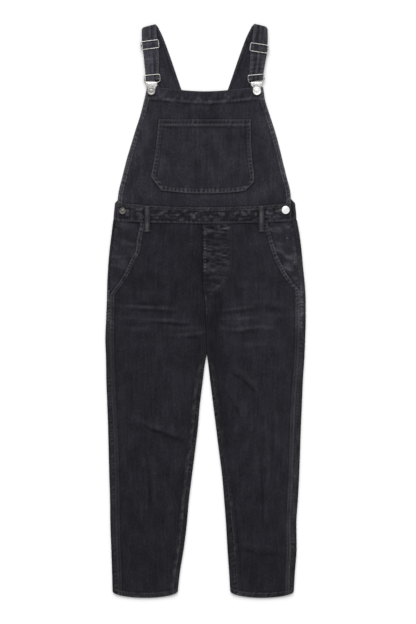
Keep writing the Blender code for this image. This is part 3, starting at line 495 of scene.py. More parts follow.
def fold_height(x, y, folds):
    """Soft ridges, and troughs where the height is below 0.

    Each point takes its nearest place on the fold's line: the height is a bell across the line,
    wider on one side than on the other, times an uneven arch along it.
    """
    height = np.zeros(np.broadcast(x, y).shape)
    for number, fold in enumerate(folds):
        nearest = np.full(height.shape, np.inf)
        beside, along = np.zeros(height.shape), np.zeros(height.shape)
        walked = 0.0
        for (x0, y0), (x1, y1) in zip(fold.path[:-1], fold.path[1:]):
            length = math.hypot(x1 - x0, y1 - y0)
            ux, uy = (x1 - x0) / length, (y1 - y0) / length
            t = np.clip((x - x0) * ux + (y - y0) * uy, 0, length)
            off_x, off_y = x - x0 - t * ux, y - y0 - t * uy
            away = np.hypot(off_x, off_y)
            nearer = away < nearest
            nearest = np.where(nearer, away, nearest)
            beside = np.where(nearer, ux * off_y - uy * off_x, beside)
            along = np.where(nearer, walked + t, along)
            walked += length
        width = np.where(beside > 0, fold.left, fold.right)
        arch = 0.35 + 0.65 * np.clip(np.sin(math.pi * along / walked), 0, 1) ** 0.8
        height += fold.height * bell(nearest, width) * arch * (1 + 0.3 * wander(along, 18, 400 + number))
    return height


def creased(height, x, y, seed, rub=0.17):
    """How a fold of this height looks besides its form: its ridge rubs pale in uneven strokes and is a
    little lighter, and its trough is darkened with painted shade."""
    strokes = 0.75 + 0.45 * mottle(x, y, 17, 5, seed) + 0.25 * mottle(x, y, 6, 4, seed + 1)
    worn = rub * np.clip(height, 0, 1.6) * np.clip(strokes, 0, 2)
    # painted shade darkens the trough; the ridge is a little lighter
    return Relief(0.0, worn, 1 - 0.48 * np.clip(-height, 0, 1.2) + 0.10 * np.clip(height, 0, 1))


def patched(x, y, patches):
    """1 plus each patch's tone, which falls off as a bell both ways from the patch's middle."""
    return 1 + sum(p.tone * bell(x - p.x, p.wide) * bell(y - p.y, p.high) for p in patches)


def layered(*reliefs):
    """Reliefs one over another: heights add, the rubbed parts join, and the tones multiply."""
    height, unrubbed, tone = 0.0, 1.0, 1.0
    for relief in reliefs:
        height = height + relief.height
        unrubbed = unrubbed * (1 - np.clip(relief.worn, 0, 1))
        tone = tone * relief.tone
    return Relief(height, 1 - unrubbed, tone)


def faded(relief, amount):
    """A relief held back to this share of itself."""
    return Relief(relief.height * amount, relief.worn * amount, 1 + (relief.tone - 1) * amount)


def rope(along, beside, spacing, reach, lean, height, wear, seed):
    """Puckers across a seam: round ridges and narrow valleys, as the size of a sine along it.

    Their spacing and height wander, they lean across the seam, and they die away beside it. The ridges rub
    pale, and the valleys are darkened with painted shade.
    """
    phase = (along + lean * beside) / spacing + 0.9 * wander(along, 2.2 * spacing, seed)
    ridge = np.abs(np.sin(math.pi * phase))
    size = 0.55 + 0.35 * wander(along, 1.3 * spacing, seed + 1) + 0.35 * wander(along, 6 * spacing, seed + 2)
    size = np.clip(size, 0.05, 1.2) * bell(beside, reach)
    # the valleys' darker tone is painted shade
    return Relief(height * size * (ridge - 0.64), wear * size * ridge**3, 1 - 0.8 * size * (1 - ridge) ** 2)


def band(from_edge, width=SEAM_BAND):
    """The extra height of a seam or turned edge: RAISE close to the edge, 0 past the seam's width."""
    return RAISE * ease(width + RAISE_STEP, width, from_edge)


def rolled(from_edge, radius=0.7):
    """How far a rolled edge's face drops: a quarter circle within the radius of the edge."""
    inside = np.clip(1 - from_edge / radius, 0, 1)
    return -radius * (1 - np.sqrt(1 - inside**2))


def stitched_edge(beside, along, seed, wear, pucker, rows=STITCH_ROWS, width=SEAM_BAND, roped=1.0):
    """A turned edge: its edge and its rows of stitches rub pale, and painted shade, with some dye kept
    there, darkens the foot of its step and a groove beside each row.

    Threads pull a groove along each row, and puckers run across the turning. roped is the share of
    the wear that the puckers show, against straight lines along the rows.
    """
    worn = wear * bell(beside, 1.7)
    # painted shade just past the turned edge's step, where some dye also stays
    tone = 1 - 0.38 * bell(beside - width - RAISE_STEP, 2.2)
    height = 0.0
    for row in rows:
        height = height - 0.18 * bell(beside - row, 0.8)
        dashes = 0.75 + 0.5 * wander(along, 3.4, seed + int(10 * row))
        worn = worn + 1.1 * wear * dashes * bell(beside - row - 0.9, 1.1)
        # painted shade in the groove beside the row
        tone = tone * (1 - 0.30 * bell(beside - row + 1.2, 1.0))
    worn = worn * (uneven(along, 16, seed + 7, 0.3) + 0.2 * wander(along, 5, seed + 8))
    puckers = rope(along, beside - width / 2, 8, 0.6 * width, 0.35, pucker, wear, seed)
    puckers = Relief(puckers.height, puckers.worn * roped, 1 + (puckers.tone - 1) * roped)
    return layered(Relief(height, worn, tone), puckers)


def nap(x, y, seed):
    """The slack of a washed cloth: low long waves down the cloth, with smaller ones over them."""
    slow = 0.22 * mottle(x, y, 26, 90, seed) + 0.12 * mottle(x, y, 10, 28, seed + 1)
    slow = slow + 0.10 * mottle(x, y, 24, 9, seed + 4)
    wash = 0.10 * mottle(x, y, 24, 60, seed + 2) + 0.09 * mottle(x, y, 8, 20, seed + 3)
    return Relief(slow, 0.0, 1 + wash + 0.09 * mottle(x, y, 15, 8, seed + 5))


def plain_cloth(x, y, top, low, relief):
    """Cloth whose face and back lie at these heights over x and y, which also measure its weave."""
    return Cloth(grid(x, y, top), grid(x, y, low), x, y, relief.worn, relief.tone)


# ---------------------------------------------------------------- the flattened legs


def arc_to(depth):
    """Distance along the cloth from a fold's outermost line to a point this deep inside it."""
    turn = np.arccos(1 - np.clip(depth / FOLD_RADIUS, 0, 1))
    return FOLD_RADIUS * turn + np.maximum(depth - FOLD_RADIUS, 0)


def outer_fold(y, side):
    """x of a leg's outer fold."""
    return follow(HIPS_AND_LEGS, SIDES[side], y)


def inner_fold(y, side):
    """x of a leg's inner fold, carried on past the garment's middle above the crotch."""
    above = np.maximum(y - CROTCH_Y, 0)
    return follow(INSIDE_LEGS, SIDES[side], y) - side * above * MIDDLE_SPREAD


def tube(distance, y, side):
    """A flattened tube's section at height y: two half circles joined by two flats.

    distance runs along the cloth from the outer fold's outermost line, positive over the top and
    negative under the tube. Returns the face's x and z, the same point's outward direction, and how
    far the top has sunk there.
    """
    radius, quarter = FOLD_RADIUS, QUARTER_TURN
    outer = outer_fold(y, side)
    flat = np.abs(outer - inner_fold(y, side)) - 2 * radius
    half = flat + 2 * quarter
    distance = np.mod(distance + half, 2 * half) - half
    run = np.abs(distance)
    first = np.clip(run / quarter, 0, 1) * math.pi / 2
    last = np.clip((run - quarter - flat) / quarter, 0, 1) * math.pi / 2
    depth = radius * (1 - np.cos(first)) + np.clip(run - quarter, 0, flat) + radius * np.sin(last)
    over = np.where(distance < 0, -1.0, 1.0)
    lift = np.where(run < quarter, np.sin(first), np.cos(last))
    out = np.where(run < quarter, np.cos(first), -np.sin(last))
    sunk = (1 - bell(depth, SAG_REACH)) * (1 - bell(flat + 2 * radius - depth, SAG_REACH))
    sunk = np.where(distance > 0, sunk, 0)
    return outer - side * depth, radius * (1 + over * lift), side * out, over * lift, sunk


def seam_distances(y, side):
    """Distances round a leg's tube to its side seam and to its inner or middle seam, and half way
    round it. Above the crotch the middle seam lies as deep as the fly's edge."""
    inner = inner_fold(y, side)
    half = np.abs(outer_fold(y, side) - inner) + (math.pi - 2) * FOLD_RADIUS
    middle_depth = np.maximum(side * (follow(FLY_EDGE, "x", y) - inner), 0)
    inside = follow(SEAM_DEPTHS, "inside_" + SIDES[side], y)
    inner_seam = arc_to(np.where(y < CROTCH_Y, inside, middle_depth))
    return arc_to(follow(SEAM_DEPTHS, "side_" + SIDES[side], y)), inner_seam, half


def hem_bow(x, base, side, bow):
    """The rows near the hem bow down as half an ellipse across the leg."""
    outer, inside = outer_fold(base, side), follow(INSIDE_LEGS, SIDES[side], base)
    part = np.where(base < CROTCH_Y, 2 * (x - inside) / (outer - inside) - 1, 0)
    return -bow * ease(HEM_BOW_FROM, HEM_Y, base) * np.sqrt(np.clip(1 - part**2, 0, 1))


def front_leg_edges(base, side):
    """Distances round the tube to the front panel's edges: pocket or side seam, and middle seam."""
    side_seam, inner_seam, half = seam_distances(base, side)
    opening = arc_to(np.abs(outer_fold(base, side) - follow(POCKET_OPENINGS, SIDES[side], base)))
    start = np.maximum(side_seam, opening * ease(34, 42, base)) + GAP / 2
    return start, half - inner_seam - GAP / 2


def meets_band(x, base):
    """How far the rows just below the waist come down to meet the waistband's dipping foot."""
    return (BACK_BAND_FOOT - band_foot(x)) * ease(MEETS_BAND_FROM, BACK_BAND_FOOT - GAP, base)


def below_pocket(base):
    """1 along the side seam just below the pocket's opening, 0 at the opening and down the thigh."""
    return ease(75, 40, base) * ease(-60, -30, base)


def below_crotch(base):
    """1 down the inseam and 0 up the middle."""
    return ease(CROTCH_Y + 10, CROTCH_Y - 40, base)


def leg_wash_and_shade(x, y, side):
    """How light a leg's colour is: its wash, lighter down the thighs and at the knee and darker at the
    ankle, times the patches, among them painted shade beside the crotch seam.
    """
    wash = 1.0 if side < 0 else 0.95 + 0.135 * ease(-660, -440, y)
    wash = wash + 0.14 * ease(-330, -60, y) - 0.03 * ease(-540, -600, y) + 0.10 * bell(y + 290, 70)
    return wash * patched(x, y, LEG_PATCHES)


def outer_edge_relief(from_start, base, side):
    """The pocket's edge and the side seam: rubbed and roped at the opening and just below it, with a
    paler strip beside the seam further down."""
    rub, seed = FRONT_RUB[side], 20 + 10 * side
    at_pocket, below = ease(30, 60, base), below_pocket(base)
    wear = rub.seam + rub.at_pocket * at_pocket + rub.below_pocket * below
    pucker = 0.20 + rub.pucker * below + 0.45 * at_pocket
    roped = 0.2 + 0.8 * np.maximum(at_pocket, below)
    edge = stitched_edge(from_start, base, seed, wear, pucker, roped=roped)
    glow = rub.glow * bell(from_start - 3, 9) * uneven(base, 40, seed + 1, 0.4) * (1 - at_pocket)
    return layered(edge, Relief(worn=glow))


def inseam_relief(from_end, base, side):
    """The inseam: one row of stitches, with soft spots of wear beside it."""
    seed = 23 + 10 * side
    edge = stitched_edge(from_end, base, seed, 0.24, 0.6, rows=STITCH_ROWS[:1], roped=0.4)
    blobs = spots(from_end, base, 6, 8, seed + 1, 0.2) * bell(from_end - 3, 6)
    edge = layered(edge, Relief(0.3 * blobs, FRONT_RUB[side].inseam * blobs))
    return faded(edge, below_crotch(base) * uneven(base, 60, seed + 1, 0.3))


def fly_edge_relief(from_end, base):
    """The fly's lapped edge: a dotted pale line and lint between dark lines of painted shade beside the
    placket, and below it a ridge where the fronts close, in a dip darkened with painted shade, with a
    painted shadow beside the fly's curve and painted shade where the fronts meet lower down."""
    dots = np.clip(0.15 + beat(base, 8.0, 1.8, 30, 36), 0, 1) ** 1.4 * bell(from_end - 5.5, 2.7)
    dots = dots * uneven(base, 17, 37, 0.38)
    lint = spots(from_end, base, 5, 6, 37) * bell(from_end - 13, 5)
    shade = 1 - 0.35 * bell(from_end, 1.8) - 0.30 * bell(from_end - 9.6, 2.2)
    beside_placket = ease(85, 110, base) * ease(212, 202, base)
    edge = faded(Relief(0.55 * dots + 0.2 * lint, 0.95 * dots + 0.25 * lint, shade), beside_placket)
    closing = ease(-14, -2, base) * ease(56, 34, base) * uneven(base, 6, 38, 0.55)
    ridge = np.clip(closing, 0, 1) * bell(from_end - 3.2, 1.8)
    # painted shade in the dip where the fronts close, a painted shadow beside the fly's curve, and painted
    # shade where the fronts meet lower down
    hollow_shade = 1 - 0.35 * bell(from_end, 4) * (1 - beside_placket)
    hollow_shade = hollow_shade - 0.30 * bell(from_end - 31, 4) * bell(base - 36, 16)
    hollow_shade = hollow_shade * (1 - 0.5 * bell(from_end, 5) * bell(base + 12, 6))
    return layered(edge, Relief(0.25 * ridge, 0.45 * ridge, hollow_shade))


def fly_stitch(y, inset):
    """x of the fly's curved stitches: straight down, then a quarter ellipse in to the middle."""
    reach = np.clip((FLY_CURVE_FROM - y) / (FLY_CURVE_FROM - FLY_STITCH_FOOT - inset), 0, 1)
    return (FLY_WIDTH - inset) * np.sqrt(1 - reach**2)


def placket_relief(x, y):
    """The placket raises the wearer's left front and crinkles across in short uneven strokes, in belts
    between its hidden buttons. Its high strokes are painted pale as lit, and painted shade darkens its low
    strokes, a belt near its top and a line just outside its stitches. The rest of it stays as dark as the
    leg."""
    stitch, inner_stitch = (fly_stitch(y, inset) for inset in FLY_STITCH_INSETS)
    inside = ease(FLY_STITCH_FOOT - 10, FLY_STITCH_FOOT + 8, y)
    raised = RAISE * ease(stitch + 8, stitch - 4, x) * inside
    on_placket = ease(stitch + 1, stitch - 9, x) * inside
    slanted = y - 0.08 * (x - 30)
    belts = 0.30 + sum(crinkle.size * bell(slanted - crinkle.y, crinkle.high) for crinkle in FLY_CRINKLES)
    strokes = 0.8 * mottle(x, y + 0.06 * x, 15, 4.0, 62) + 0.5 * mottle(x, y - 0.1 * x, 6, 3.6, 63)
    upright = 0.5 * (bell(x - 33, 4.5) + bell(x - 55, 3.5)) * bell(y - 194, 10)
    # painted highlights on the crinkles' high strokes, carried in the worn share
    lit = on_placket * belts * (np.clip(0.35 + 1.3 * strokes, 0, 1.6) ** 1.5 + upright)
    rows = (bell(x - stitch, 1.6) + bell(x - inner_stitch, 1.6)) * uneven(y, 14, 64, 0.5)
    # painted shade in the crinkles' low strokes, in a belt near the top and just outside the stitches
    dark = 0.16 + 0.62 * on_placket * belts * np.clip(-strokes, 0, 1) + 0.20 * bell(y - 174, 8) * on_placket
    tone = 1 - dark * on_placket - 0.12 * bell(x - stitch - 5, 3.0) * inside
    height = raised + 0.75 * on_placket * belts * strokes + 0.5 * upright * on_placket
    return Relief(height, 0.05 * rows * inside + 0.26 * lit, tone)


def front_leg_surface(distance, base, side):
    """A front panel's cloth at these distances round the tube and heights before the hem's bow."""
    start, end = front_leg_edges(base, side)
    x, z, out, up, sunk = tube(distance, base, side)
    y = base + hem_bow(x, base, side, HEM_BOW) - meets_band(x, base)
    hip_folds, leg_folds = (fold_height(x, y, folds) * sunk for folds in (HIP_FOLDS, LEG_FOLDS))
    low = z - SAG * sunk + hip_folds + leg_folds
    from_start, from_end = distance - start, end - distance
    from_hem, from_waist = base - HEM_Y, BACK_BAND_FOOT - GAP - base
    seed, hem_rub = 20 + 10 * side, FRONT_RUB[side].hem
    inner_band = band(from_end)
    if side < 0:
        # painted shade along the wearer's right front's middle edge above the crotch, beside the fly's
        # lapped edge
        middle = faded(Relief(tone=1 - 0.3 * bell(from_end, 6)), 1 - below_crotch(base))
        inner_band = inner_band * ease(FLY_STITCH_FOOT + 10, FLY_STITCH_FOOT - 10, base)
    else:
        middle = layered(fly_edge_relief(from_end, base), placket_relief(x, y))
    relief = layered(
        faded(nap(x, y, seed + 9), 0.5 + 0.4 * ease(-500, -150, y)),
        creased(hip_folds, x, y, seed + 10),
        creased(leg_folds, x, y, seed + 12, rub=0.10),
        outer_edge_relief(from_start, base, side),
        inseam_relief(from_end, base, side),
        stitched_edge(from_hem, distance, seed + 5, hem_rub, 0.7, rows=(LEG_HEM_STITCH,), width=LEG_HEM),
        middle,
        # painted shadow along the foot of the waistband, times the leg's wash and painted shade
        Relief(tone=(1 - 0.45 * bell(from_waist, 2.2)) * leg_wash_and_shade(x, y, side)),
    )
    raised = reduce(np.maximum, (inner_band, band(from_start), band(from_hem, LEG_HEM)))
    top = low + raised + relief.height + rolled(least(from_start, from_end, from_hem, from_waist))
    back = grid(x - out * CLOTH, y, low - up * CLOTH)
    return Cloth(grid(x, y, top), back, distance, base, relief.worn, relief.tone)


def back_leg_surface(distance, base, side):
    """A back panel's cloth: it lies on the floor and turns up round the folds to the front seams."""
    side_seam, inner_seam, half = seam_distances(base, side)
    x, z, out, up, sunk = tube(distance, base, side)
    y = base + hem_bow(x, base, side, np.where(up > 0, HEM_BOW, BACK_HEM_BOW))
    lifted = np.maximum(fold_height(x, y, BACK_FOLDS), 0) * ease(-0.95, -0.999, up)
    z = z - SAG * sunk + lifted
    seed, rub = 60 + 10 * side, BACK_RUB[side]
    run, from_hem, below = np.abs(distance), base - HEM_Y, below_pocket(base)
    to_side = np.where(distance >= -8, np.abs(side_seam - distance), PAST_WEAR)
    to_inner = np.abs(half + inner_seam + np.minimum(distance, 0))
    to_inner = np.where((base < CROTCH_Y) & (run > half / 2), to_inner, PAST_WEAR)
    specks = spots(to_side, base, 4, 6, seed + 3) * bell(to_side - 3, 5) * below
    flange = ease(0.2, 0.8, up) * ease(0, 4, distance) * ease(-620, -480, base)
    flange = flange * np.clip(0.6 + 0.8 * mottle(run, base, 9, 30, seed + 7), 0, 1.4)
    # painted shade along the side seam and the inseam, where the panels meet
    seams = 1 - 0.22 * bell(to_side, 1.8) - 0.30 * bell(to_inner, 2.2)
    # painted shade on the outer fold's rounded edge
    fold_edge_shade = 1 - 0.22 * bell(run, 3.0)
    # the patches include painted shade down the wearer's left inner thigh
    wash = patched(x, y, LEG_PATCHES) * nap(x, y, seed + 6).tone
    relief = layered(
        stitched_edge(from_hem, distance, seed + 4, 0.34, 0.6, rows=(LEG_HEM_STITCH,), width=LEG_HEM),
        rope(base, to_side - 3, 7, 4.5, 0.3, 0.45 + 0.2 * below, 0.34 + rub.below_pocket * below, seed),
        Relief(worn=0.5 * specks),
        rope(base, to_inner, 9, 8, 0.4, 0.6, 0.34, seed + 2),
        Relief(0.0, rub.flange * flange, 1 + rub.glow * flange),
        Relief(tone=seams * fold_edge_shade * wash),
    )
    height = relief.height * ease(-0.2, 0.6, up) + RAISE * 0.4 * ease(13, 11, from_hem) * (up > -0.2)
    face, back = grid(x, y, np.maximum(z + height, 0)), grid(x - out * CLOTH, y, z - up * CLOTH)
    return Cloth(face, back, distance, base, relief.worn, relief.tone)


def facing_surface(distance, base, side):
    """The denim inside a slanted pocket, a ply below the front panel: creased, and rubbed by hands."""
    to_side, to_edge = distance - seam_distances(base, side)[0], front_leg_edges(base, side)[0] - distance
    x, z, _, _, sunk = tube(distance, base, side)
    y = base - meets_band(x, base)
    low = z - SAG * sunk + fold_height(x, y, HIP_FOLDS) * sunk - CLOTH - GAP
    seed = 90 + 10 * side
    crease = 0.5 * bell(y - 132 - 0.05 * (x + 200), 4) if side < 0 else 0.0
    crease = crease + 0.5 * np.clip(mottle(x, y + 0.3 * x, 22, 9, seed + 3), -0.3, 1)
    specks = sum(bell(x - speck.x, speck.wide) * bell(y - speck.y, speck.high) for speck in FACING_LINT)
    shade = 1 - 0.40 * bell(to_edge, 3.0) - 0.35 * bell(BACK_BAND_FOOT - base, 4.0)
    relief = layered(
        Relief(crease + 0.12 * mottle(x, y, 16, 30, seed + 1), 0.9 * specks * (side > 0), shade),
        creased(crease, x, y, seed + 4, rub=FACING_RUB[side]),
        rope(base, to_side, 8, 8, 0.5, 0.35, 0.30, seed),
        Relief(tone=nap(x, y, seed + 2).tone * FACING_WASH[side]),
    )
    height = np.minimum(relief.height, 0.15 + 0.6 * ease(0, 14, to_edge))
    return Cloth(grid(x, y, low + height), grid(x, y, low - CLOTH), distance, base, relief.worn, relief.tone)


# ---------------------------------------------------------------- waist and bib


def dip(x, half):
    """1 in the middle, falling as a parabola to 0 at half to either side."""
    return 1 - np.clip(np.abs(x) / half, 0, 1) ** 2


def band_foot(x):
    """y of the front waistband's lower edge, which dips towards the middle."""
    return WAIST_Y - BAND_FOOT_DIP * dip(x, BAND_HALF)


def band_head(x):
    """y of the front waistband's upper edge."""
    return WAIST_Y + BAND_HEIGHT - BAND_HEAD_DIP * dip(x, BAND_HALF)


def band_face(x):
    """Height of the front waistband's face: its ends come down onto the back waistband."""
    return BAND_FACE - BAND_END_DROP * ease(BAND_HALF - 58, BAND_HALF - 3, np.abs(x))


def bib_face(x, y):
    """Height of the bib's face: level over the straps, higher at the waist, lower at its sides."""
    right, left = sides_of(BIB_SIDES, y)
    edge = np.minimum(x - right, left - x)
    loose = ease(BIB_CORNERS_Y, BIB_CORNERS_Y - 40, y) * ease(BACK_BAND_TOP, BACK_BAND_TOP + 30, y)
    drop = BIB_SIDE_DROP * ease(BIB_SIDE_REACH, 0, edge) * loose
    wave = BIB_WAVE * (1 + np.sin(x / 46) * np.cos(y / 60))
    wave = wave * ease(0, 60, edge) * ease(BIB_HEM, BIB_HEM + 50, BIB_TOP_Y - y)
    rise = (BIB_AT_WAIST - BIB_REST) * ease(WAIST_Y + 124, WAIST_Y + BAND_HEIGHT, y)
    return BIB_REST + rise - drop + wave


def slant(rows, column, y):
    """How much nearer a slanted edge is than its level distance says: the cosine of its slant."""
    slope = (follow(rows, column, y + 1) - follow(rows, column, y - 1)) / 2
    return 1 / np.sqrt(1 + slope**2)


def from_sides(rows, x, y):
    """Distances to a panel's right and left sides, square to each side."""
    right, left = sides_of(rows, y)
    return (x - right) * slant(rows, "right", y), (left - x) * slant(rows, "left", y)


def beside_edges(rows, y, offset):
    """x this far in from a panel's right and left sides, square to each side."""
    right, left = sides_of(rows, y)
    return right + offset / slant(rows, "right", y), left - offset / slant(rows, "left", y)


def bib_guide(part):
    """Height in the bib's table of sides for a part of its height, from its foot, 0, to its top, 1."""
    return band_head(0) + (BIB_TOP_Y - band_head(0)) * part


def bib_surface(x, part):
    """The bib's cloth: turned sides, a deep top hem, and soft folds."""
    guide = bib_guide(part)
    right, left = sides_of(BIB_SIDES, guide)
    top = BIB_TOP_Y - BIB_TOP_DIP * dip(2 * (x - right) / (left - right) - 1, 1) ** 2
    foot = band_head(x) + GAP
    y = foot + (top - foot) * part
    from_right, from_left = from_sides(BIB_SIDES, x, guide)
    beside, from_top, from_foot = np.minimum(from_right, from_left), top - y, y - foot
    folds = fold_height(x, y, BIB_FOLDS) * ease(2, 22, from_foot) * ease(0, 16, beside)
    low = bib_face(x, y) + folds
    sides = [stitched_edge(beside, y, 134 + 3 * side, rub, 0.7) for side, rub in BIB_SIDE_RUB.items()]
    sides = Relief(*(np.where(from_right < from_left, *both) for both in zip(*sides)))
    hem_row = stitched_edge(np.abs(from_top - TOP_STITCHES[1]), x, 143, 0.20, 0.45, rows=(0.6,), width=5.0)
    slack = 0.6 * mottle(x, from_top, 8, 9, 151) + 0.5 * mottle(x + 0.8 * from_top, from_top, 7, 12, 152)
    slack = slack * (bell(from_top - BIB_HEM + 7, 9) + 0.3 * bell(from_top - 8, 9))
    on_hem = ease(BIB_HEM + 4, BIB_HEM - 2, from_top)
    # painted shadow round the pocket's outline
    shade_round_pocket = bell(np.maximum(pocket_distance(x, y), 0), 3.0)
    relief = layered(
        nap(x, y, 155),
        creased(folds, x, y, 156),
        sides,
        Relief(worn=0.30 * bell(from_top, 1.8) * uneven(x, 20, 141, 0.4)),
        faded(hem_row, 0.75 + 0.5 * wander(x, 11, 144)),
        # painted shade below the step of the top hem
        Relief(tone=1 - 0.30 * bell(from_top - BIB_HEM - RAISE_STEP, 2.4)),
        Relief(0.55 * slack, 0.42 * np.clip(slack, 0, 1), 1 + 0.15 * on_hem + 0.48 * slack),
        # painted shade along the foot, against the waistband
        Relief(tone=1 - 0.40 * bell(from_foot, 2.0)),
        # the wash, lighter at the sides, less the painted shadow round the pocket
        Relief(tone=BIB_WASH + 0.38 * bell(beside, 26) - 0.50 * shade_round_pocket),
    )
    raised = np.maximum(band(beside), band(from_top, BIB_HEM))
    uncovered = 1 - ease(0, -6, pocket_distance(x, y))
    top = low + raised + relief.height * uncovered + rolled(least(beside, from_top, from_foot))
    return plain_cloth(x, y, top, low - CLOTH, relief)


def pocket_bow(x):
    """How far the bib pocket's foot bows down at x."""
    return POCKET_FOOT_BOW * dip(x, -POCKET_SIDES[0].right)


def pocket_distance(x, y):
    """Distance from the bib pocket's outline, negative inside it."""
    from_right, from_left = from_sides(POCKET_SIDES, x, np.clip(y, POCKET_FOOT, POCKET_MOUTH))
    return -least(from_right, from_left, POCKET_MOUTH - y, y - POCKET_FOOT + pocket_bow(x))


def pocket_surface(x, guide):
    """The patch pocket: the bib's own face moved out, with turned edges and a mouth hem.

    Beside its twin rows the cloth is broken into pale and dark spots, most of all along the foot.
    """
    y = guide - pocket_bow(x) * ease(POCKET_FOOT + 70, POCKET_FOOT, guide)
    beside = np.minimum(*from_sides(POCKET_SIDES, x, guide))
    from_mouth, from_foot = POCKET_MOUTH - guide, guide - POCKET_FOOT
    around, along = np.minimum(beside, from_foot), np.where(beside < from_foot, y, x)
    low = bib_face(x, y) + GAP
    soft = fold_height(x, y, POCKET_FOLDS) * ease(0, 16, around)
    turned = stitched_edge(around, along, 171, 0.42, 0.85)
    turned = layered(turned, Relief(worn=0.16 * bell(around, 8) * bell(y - 300, 34)))
    broken = bell(around - 6.0, 4.6) * (0.50 + 0.50 * ease(34, 10, from_foot))
    dots = beat(along, 9.6, 3.4, 21, 181) + 0.6 * mottle(along, around, 6, 5, 182)
    lit, dim = np.clip(dots, 0, 1) * broken, np.clip(0.2 - dots, 0, 1) * broken
    worn = (0.52 * turned.worn + 0.36 * lit) * (1 - 0.9 * dim) + 0.22 * bell(around - 0.8, 1.6)
    relief = layered(
        nap(x, y, 179),
        creased(soft, x, y, 180),
        Relief(turned.height + 0.35 * lit, worn, turned.tone * (1 - 0.35 * dim)),
        stitched_edge(np.abs(from_mouth - MOUTH_STITCH), x, 173, 0.26, 0.3, rows=(0.5,), width=4.0),
        Relief(worn=0.42 * bell(from_mouth, 1.8) * uneven(x, 24, 175, 0.3)),
        rope(x, from_mouth - MOUTH_HEM / 2, 8, 7, 0.2, 0.35, 0.26, 177),
        Relief(tone=POCKET_WASH - 0.06 * bell(x - 20, 60) * bell(y - 370, 50)),
    )
    raised = np.maximum(band(around), band(from_mouth, MOUTH_HEM))
    top = low + CLOTH + raised + relief.height + soft + rolled(np.minimum(around, from_mouth))
    return plain_cloth(x, y, top, low, relief)


def hole_gape(x, side, slit=0.75):
    """Half the width of a side buttonhole at x: round where the button's shank sits, then a slit."""
    button_x = WAIST_BUTTONS[side][0]
    inner_end = button_x - side * (BUTTONHOLE_INSET + BUTTONHOLE_LENGTH / 2)
    outer_end = button_x + side * (SHANK_RADIUS + 1.2)
    inside = ease(inner_end, inner_end + side * 1.5, x) * ease(outer_end, outer_end - side * 1.5, x)
    return (slit + (SHANK_RADIUS + 0.6 - slit) * bell(x - button_x, 3.4)) * inside


def waistband_surface(x, part):
    """The doubled front band. part runs from its foot, 0, to its head, 1.

    Rows near each buttonhole move apart to leave the hole, by half its width at that x. The band is darkened
    with painted shadow beside the belt loops and round the buttons.
    """
    foot, head = band_foot(x), band_head(x)
    y = foot + (head - foot) * part
    sewn_ring, shade_round_buttons = 0.0, 1.0
    for side, (_, hole_y, _) in WAIST_BUTTONS.items():
        gape, above = hole_gape(x, side), y - hole_y
        y = y + np.sign(above) * gape * bell(above, 7.0)
        sewn_ring = sewn_ring + bell(np.abs(y - hole_y) - gape - 1.1, 1.3) * ease(0.05, 0.7, gape)
    # painted shadow round each button
    for button_x, button_y, radius in WAIST_BUTTONS.values():
        away = np.hypot(x - button_x, y - button_y) - radius
        shade_round_buttons = shade_round_buttons - 0.45 * bell(np.maximum(away, 0), 2.0)
    wash = BAND_WASH + 0.20 * ease(110, 170, np.abs(x))
    # painted shadow on the band beside each belt loop
    for loop_x in BELT_LOOPS.values():
        wash = wash * (1 - 0.76 * bell(np.maximum(np.abs(x - loop_x) - LOOP_WIDTH / 2, 0), 3.6))
    from_foot, from_head = y - foot, head - y
    from_end = np.minimum(x - BAND_ENDS[0], BAND_ENDS[1] - x)
    inside = ease(3, 10, np.minimum(from_foot, from_head))
    strokes = mottle(x, y, 13, 4.2, 215) * 0.6 + mottle(x, y, 5.5, 5, 216) * 0.55
    rubbed = np.clip(strokes, 0, 1) ** 1.3
    relief = layered(
        stitched_edge(from_head, x, 211, 0.32, 0.45, rows=BAND_STITCHES, width=8.0),
        stitched_edge(from_foot, x, 213, 0.30, 0.5, rows=(BAND_FOOT_STITCH,), width=6.0),
        Relief(worn=0.3 * bell(from_end, 2.0)),
        Relief(0.55 * strokes * inside, 0.55 * rubbed * inside, 0.97 + 0.45 * strokes),
        Relief(0.5 * sewn_ring, 0.65 * sewn_ring),
        Relief(tone=wash * shade_round_buttons),
    )
    flat = 1 - 0.9 * (1 - ease(0.4, 1.0, shade_round_buttons))
    top = band_face(x) + relief.height * flat + rolled(least(from_foot, from_head, from_end), 1.0)
    return plain_cloth(x, y, top, band_face(x) - DOUBLED, relief)


def back_band_surface(part, y):
    """The doubled back band on the floor; part runs from its right end, 0, to its left end, 1."""
    corner = BACK_BAND_CORNER * ease(BACK_BAND_TOP - 14, BACK_BAND_TOP, y) ** 2
    inset = corner + BACK_BAND_TAPER * ease(BACK_BAND_FOOT, BACK_BAND_TOP, y)
    right, left = BACK_BAND_RIGHT + inset, BACK_BAND_LEFT - inset
    x = right + (left - right) * part
    edge = least(x - right, left - x, y - BACK_BAND_FOOT, BACK_BAND_TOP - y)
    strokes = mottle(x, y, 12, 5, 233)
    hem = stitched_edge(edge, x + y, 231, 0.42, 0.4, rows=(BACK_BAND_STITCH,), width=7.0)
    relief = layered(hem, Relief(0.12 * strokes, 0.0, BACK_BAND_WASH + 0.15 * strokes))
    height = np.clip(relief.height, -0.4, 0.2) + rolled(edge, 0.9)
    return plain_cloth(x, y, DOUBLED + height, 0.0, relief)


def back_bib_surface(part, y):
    """The hidden back bib on the floor, wide at the waist and narrow between the straps' feet."""
    half = BACK_BIB_HALF_TOP + BACK_BIB_FLARE * ease(BACK_BIB_TOP, WAIST_Y, y)
    x = half * part
    hem = stitched_edge(np.minimum(half - np.abs(x), BACK_BIB_TOP - y), y, 241, 0.30, 0.3)
    relief = layered(hem, Relief(tone=nap(x, y, 243).tone * BACK_BIB_WASH))
    return plain_cloth(x, y, CLOTH + np.clip(relief.height, -0.3, 0.2), 0.0, relief)


